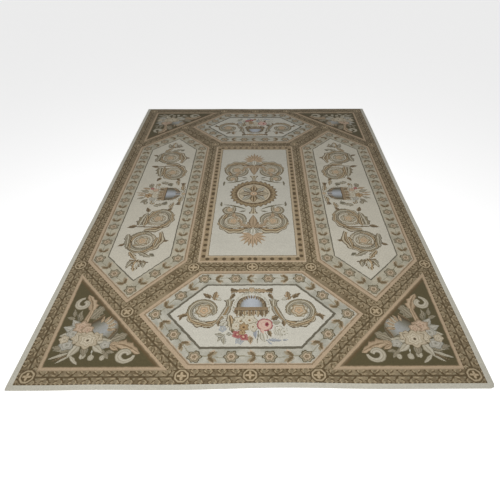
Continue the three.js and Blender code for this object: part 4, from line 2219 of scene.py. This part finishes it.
CORNER_LEAVES: tuple[Motif, ...] = (
    (Form.LOBED, FAN, 0.764, 1.040, -122.0, 0.096, 0.078),
    (Form.LOBED, FAN, 0.650, 1.176, -150.0, 0.104, 0.078),
    (Form.DOME, URN, 0.712, 1.130, -135.0, 0.108, 0.156),
    (Form.BLADE, PEACH_ACANTHUS, 0.668, 1.106, -172.0, 0.044, 0.018),
    (Form.BLADE, VOLUTE, 0.668, 1.096, -162.0, 0.040, 0.014),
    (Form.BLADE, PEACH_ACANTHUS, 0.668, 1.088, -152.0, 0.046, 0.018),
    (Form.BLADE, VOLUTE, 0.672, 1.080, -144.0, 0.042, 0.014),
    (Form.BLADE, PEACH_ACANTHUS, 0.676, 1.074, -134.0, 0.046, 0.018),
    (Form.BLADE, VOLUTE, 0.682, 1.070, -124.0, 0.042, 0.014),
    (Form.BLADE, PEACH_ACANTHUS, 0.690, 1.066, -114.0, 0.044, 0.018),
    (Form.BLADE, PEACH_ACANTHUS, 0.704, 1.064, -98.0, 0.038, 0.016),
    (Form.BLADE, BROWN_BUD, 0.696, 1.014, 44.0, 0.072, 0.014),
    (Form.BLADE, BROWN_BUD, 0.620, 1.098, 64.0, 0.064, 0.014),
    (Form.STEM, PEACH_ACANTHUS, 0.781, 1.066, -97.0, 0.112, 0.028),
    (Form.FLAME, PEACH_ACANTHUS, 0.772, 0.992, -84.0, 0.104, 0.072, 0.036),
    (Curl.HOOK, VOLUTE, 0.826, 0.950, 90.0, 0.040, -0.042),
    (Form.STEM, PEACH_ACANTHUS, 0.648, 1.192, 184.0, 0.076, 0.026),
    (Form.FLAME, PEACH_ACANTHUS, 0.600, 1.182, 176.0, 0.118, 0.074, -0.044),
    (Form.LEAF, PEACH_ACANTHUS, 0.632, 1.188, -155.0, 0.044, 0.024),
    (Form.LEAF, PEACH_ACANTHUS, 0.628, 1.192, 150.0, 0.048, 0.026),
    (Curl.HOOK, VOLUTE, 0.549, 1.240, 0.0, 0.046, 0.042),
    (Form.LEAF, FAN, 0.842, 1.030, -74.0, 0.050, 0.022),
    (Form.LEAF, FAN, 0.824, 1.038, -100.0, 0.046, 0.022),
    (Form.LEAF, FAN, 0.836, 1.044, -16.0, 0.042, 0.022),
    (Form.LEAF, FAN, 0.806, 1.054, -86.0, 0.040, 0.020),
    (Form.BLADE, FERN_LEAF, 0.808, 1.066, -62.0, 0.060, 0.008),
    (Form.LEAF, FAN, 0.672, 1.208, 142.0, 0.052, 0.022),
    (Form.LEAF, FAN, 0.640, 1.222, 176.0, 0.042, 0.022),
    (Form.LEAF, FAN, 0.644, 1.226, 128.0, 0.044, 0.022),
    (Rim.ROUND, VOLUTE, 0.646, 1.252, 0.0, 0.012, 0.014),
    (Rim.ROUND, VOLUTE, 0.696, 1.252, 0.0, 0.015, 0.016),
    (Form.BLADE, PALE_LEAF, 0.696, 1.240, -80.0, 0.040, 0.008),
    (Form.BUD, VOLUTE, 0.728, 1.214, 78.0, 0.046, 0.034),
    (Form.BLADE, VOLUTE, 0.792, 1.236, 124.0, 0.070, 0.020, 0.014),
    (Form.BLADE, VOLUTE, 0.790, 1.244, 34.0, 0.062, 0.014),
    (Form.BLADE, VOLUTE, 0.796, 1.226, 22.0, 0.094, 0.018),
    (Form.BLADE, VOLUTE, 0.800, 1.216, 0.0, 0.074, 0.015),
    (Form.BLADE, BROWN_BUD, 0.790, 1.234, 28.0, 0.080, 0.010),
    (Form.LEAF, FAN, 0.700, 1.146, 158.0, 0.076, 0.040),
    (Form.LEAF, VOLUTE, 0.706, 1.168, 184.0, 0.080, 0.040),
    (Form.LEAF, VOLUTE, 0.706, 1.184, 140.0, 0.072, 0.040),
    (Form.LEAF, FAN, 0.740, 1.192, 100.0, 0.056, 0.042),
    (Form.LEAF, VOLUTE, 0.766, 1.180, 64.0, 0.080, 0.050),
    (Form.LEAF, FAN, 0.800, 1.196, 40.0, 0.052, 0.036),
    (Form.LEAF, FAN, 0.836, 1.206, -8.0, 0.050, 0.034),
    (Form.LEAF, PALE_BLOOM, 0.798, 1.100, -50.0, 0.070, 0.044),
    (Form.LEAF, PALE_BLOOM, 0.804, 1.112, -18.0, 0.072, 0.044),
    (Form.LEAF, VOLUTE, 0.806, 1.130, 8.0, 0.070, 0.044),
    (Rim.SIX, PALE_BLOOM, 0.816, 1.128, 20.0, 0.036, 0.034),
    (Rim.FIVE, PALE_BLOOM, 0.824, 1.186, 0.0, 0.038, 0.034),
    (Rim.FIVE, LAYERED_ROSE, 0.846, 1.158, 0.0, 0.026, 0.024),
    (Rim.FIVE, PALE_BLOOM, 0.652, 1.186, 0.0, 0.028, 0.024),
    (Rim.SIX, PEACH_ROSE, 0.786, 1.090, 0.0, 0.046, 0.040),
    (Rim.FIVE, PEACH_ROSE, 0.756, 1.106, 0.0, 0.032, 0.030),
    (Rim.SIX, LAYERED_ROSE, 0.704, 1.148, 10.0, 0.036, 0.034),
    (Rim.SIX, LAYERED_ROSE, 0.780, 1.150, 30.0, 0.040, 0.038),
    (Rim.SIX, LAYERED_ROSE, 0.738, 1.162, 0.0, 0.058, 0.052),
)


@dataclass
class CornerPanel(Panel):
    """The dark triangles in the corners.

    Attributes:
        field: The colour of their ground.
        shade: The brown that their ground turns to along the slope.
    """

    field: Colour = dye(91, 82, 54)
    shade: Colour = dye(102, 83, 54)
    title = "corner_panel"

    def design(self, shop: NodeShop, needlework: Needlework, place: Socket) -> Paint:
        """Stitches flowers and scrolls on a dark olive ground, with a peach outline.

        Args:
            shop: The maker of the material's nodes.
            needlework: The motifs' groups.
            place: Coordinates on the cloth, in metres.

        Returns:
            The design's colour.
        """
        folded = shop.vector("ABSOLUTE", place)
        canvas = Canvas(shop, needlework, folded, self.field)
        canvas.stitch(CORNER_LEAVES)
        slope = follow(shop, folded, CORNER_PANEL.edges[2:])[1]
        canvas.over(
            shop.span(slope, -0.05, 0.0),
            (
                (0.0, clear(self.shade)),
                (0.30, clear(self.shade)),
                (0.52, self.shade),
                (0.66, Wool.DRAB.value),
            ),
        )
        out = follow(shop, folded, CORNER_PANEL.edges)[1]
        canvas.over(
            shop.span(out, -0.02, 0.0),
            (
                (0.0, clear(Wool.DRAB.value)),
                (0.18, Wool.DRAB.value),
                (0.36, Wool.PEACH.value),
                (0.80, dye(184, 163, 135)),
                (1.0, dye(160, 140, 112)),
            ),
        )
        return canvas.colour


@dataclass
class Studio:
    """The pale floor, the soft lights and the camera.

    Attributes:
        eye: Where the camera stands.
        pitch: How far it looks down, in degrees.
        yaw: How far it looks to the left, in degrees.
        lens: Its focal length, in millimetres.
        shift: Its sideways shift.
        floor_half: Half the floor's width.
        floor_glow: How much the floor glows of itself, so that it stays near white at the back.
        room_light: The even light of the room.
        lamp_power: The power of the softbox, in watts.
        lamp_place: Where the softbox hangs, face down.
        lamp_size: Its width and length.
    """

    eye: Triple = (0.044, -2.192, 1.4915)
    pitch: float = 42.35
    yaw: float = -0.30
    lens: float = 28.145
    shift: float = -0.0248
    floor_half: float = 12.0
    floor_glow: float = 0.5
    room_light: float = 0.36
    lamp_power: float = 26.0
    lamp_place: Triple = (-0.1, -1.25, 2.0)
    lamp_size: Pair = (1.6, 1.2)

    def build(self) -> None:
        """Makes the floor, the lights and the camera."""
        self._floor()
        self._lights()
        self._camera()

    def _floor(self) -> None:
        """Makes a plain pale floor."""
        bm = bmesh.new()
        bmesh.ops.create_grid(bm, x_segments=1, y_segments=1, size=self.floor_half)
        mesh = bpy.data.meshes.new("studio_floor")
        bm.to_mesh(mesh)
        bm.free()
        material = new_material("pale_floor")
        shop = NodeShop(material.node_tree)
        inputs = {
            "Base Color": dye(245, 245, 245),
            "Roughness": 0.9,
            "Emission Color": dye(255, 255, 255),
            "Emission Strength": self.floor_glow,
        }
        surface = shop.node("BsdfPrincipled", None, inputs)
        shop.node("OutputMaterial", None, {"Surface": surface.outputs[0]})
        mesh.materials.append(material)
        floor = bpy.data.objects.new("studio_floor", mesh)
        bpy.context.scene.collection.objects.link(floor)

    def _lights(self) -> None:
        """Makes an even room light and a large soft lamp near the front."""
        world = bpy.data.worlds.new("room")
        world.use_nodes = True
        world.node_tree.nodes["Background"].inputs[0].default_value = (1.0, 1.0, 1.0, 1.0)
        world.node_tree.nodes["Background"].inputs[1].default_value = self.room_light
        bpy.context.scene.world = world
        lamp = bpy.data.lights.new("softbox", "AREA")
        lamp.shape = "RECTANGLE"
        lamp.size, lamp.size_y = self.lamp_size
        lamp.energy = self.lamp_power
        holder = bpy.data.objects.new("softbox", lamp)
        holder.location = self.lamp_place
        bpy.context.scene.collection.objects.link(holder)

    def _camera(self) -> None:
        """Sets the camera at the photograph's angle."""
        camera = bpy.data.cameras.new("camera")
        camera.lens = self.lens
        camera.sensor_width = 36.0
        camera.shift_x = self.shift
        camera.clip_end = 60.0
        holder = bpy.data.objects.new("camera", camera)
        holder.location = self.eye
        holder.rotation_euler = (math.radians(90.0 - self.pitch), 0.0, math.radians(self.yaw))
        bpy.context.scene.collection.objects.link(holder)
        bpy.context.scene.camera = holder
        bpy.context.scene.view_settings.view_transform = "Standard"


def main() -> None:
    """Makes the rug and the studio."""
    logging.basicConfig(level=logging.INFO, format="%(name)s: %(message)s")
    cloth = WoolCloth()
    needlework = Needlework()
    slim = GuardBorder(0.0405, 0.0065, clouds=((0.35, dye(173, 167, 147)), (0.62, dye(191, 183, 161))))
    wide = GuardBorder()
    panels = {
        Zone.SELVEDGE: Selvedge(),
        Zone.GARLAND: Garland(),
        Zone.CENTRE: CentrePanel(),
        Zone.SIDE: SidePanel(slim),
        Zone.END: EndPanel(wide),
        Zone.CORNER: CornerPanel(),
        Zone.LINING: Lining(),
    }
    materials = {zone: panel.material(cloth, needlework) for zone, panel in panels.items()}
    rug = RugSheet().build(materials)
    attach(rug, "root")
    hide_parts("woven_rug")
    Studio().build()


if __name__ == "__main__":
    main()
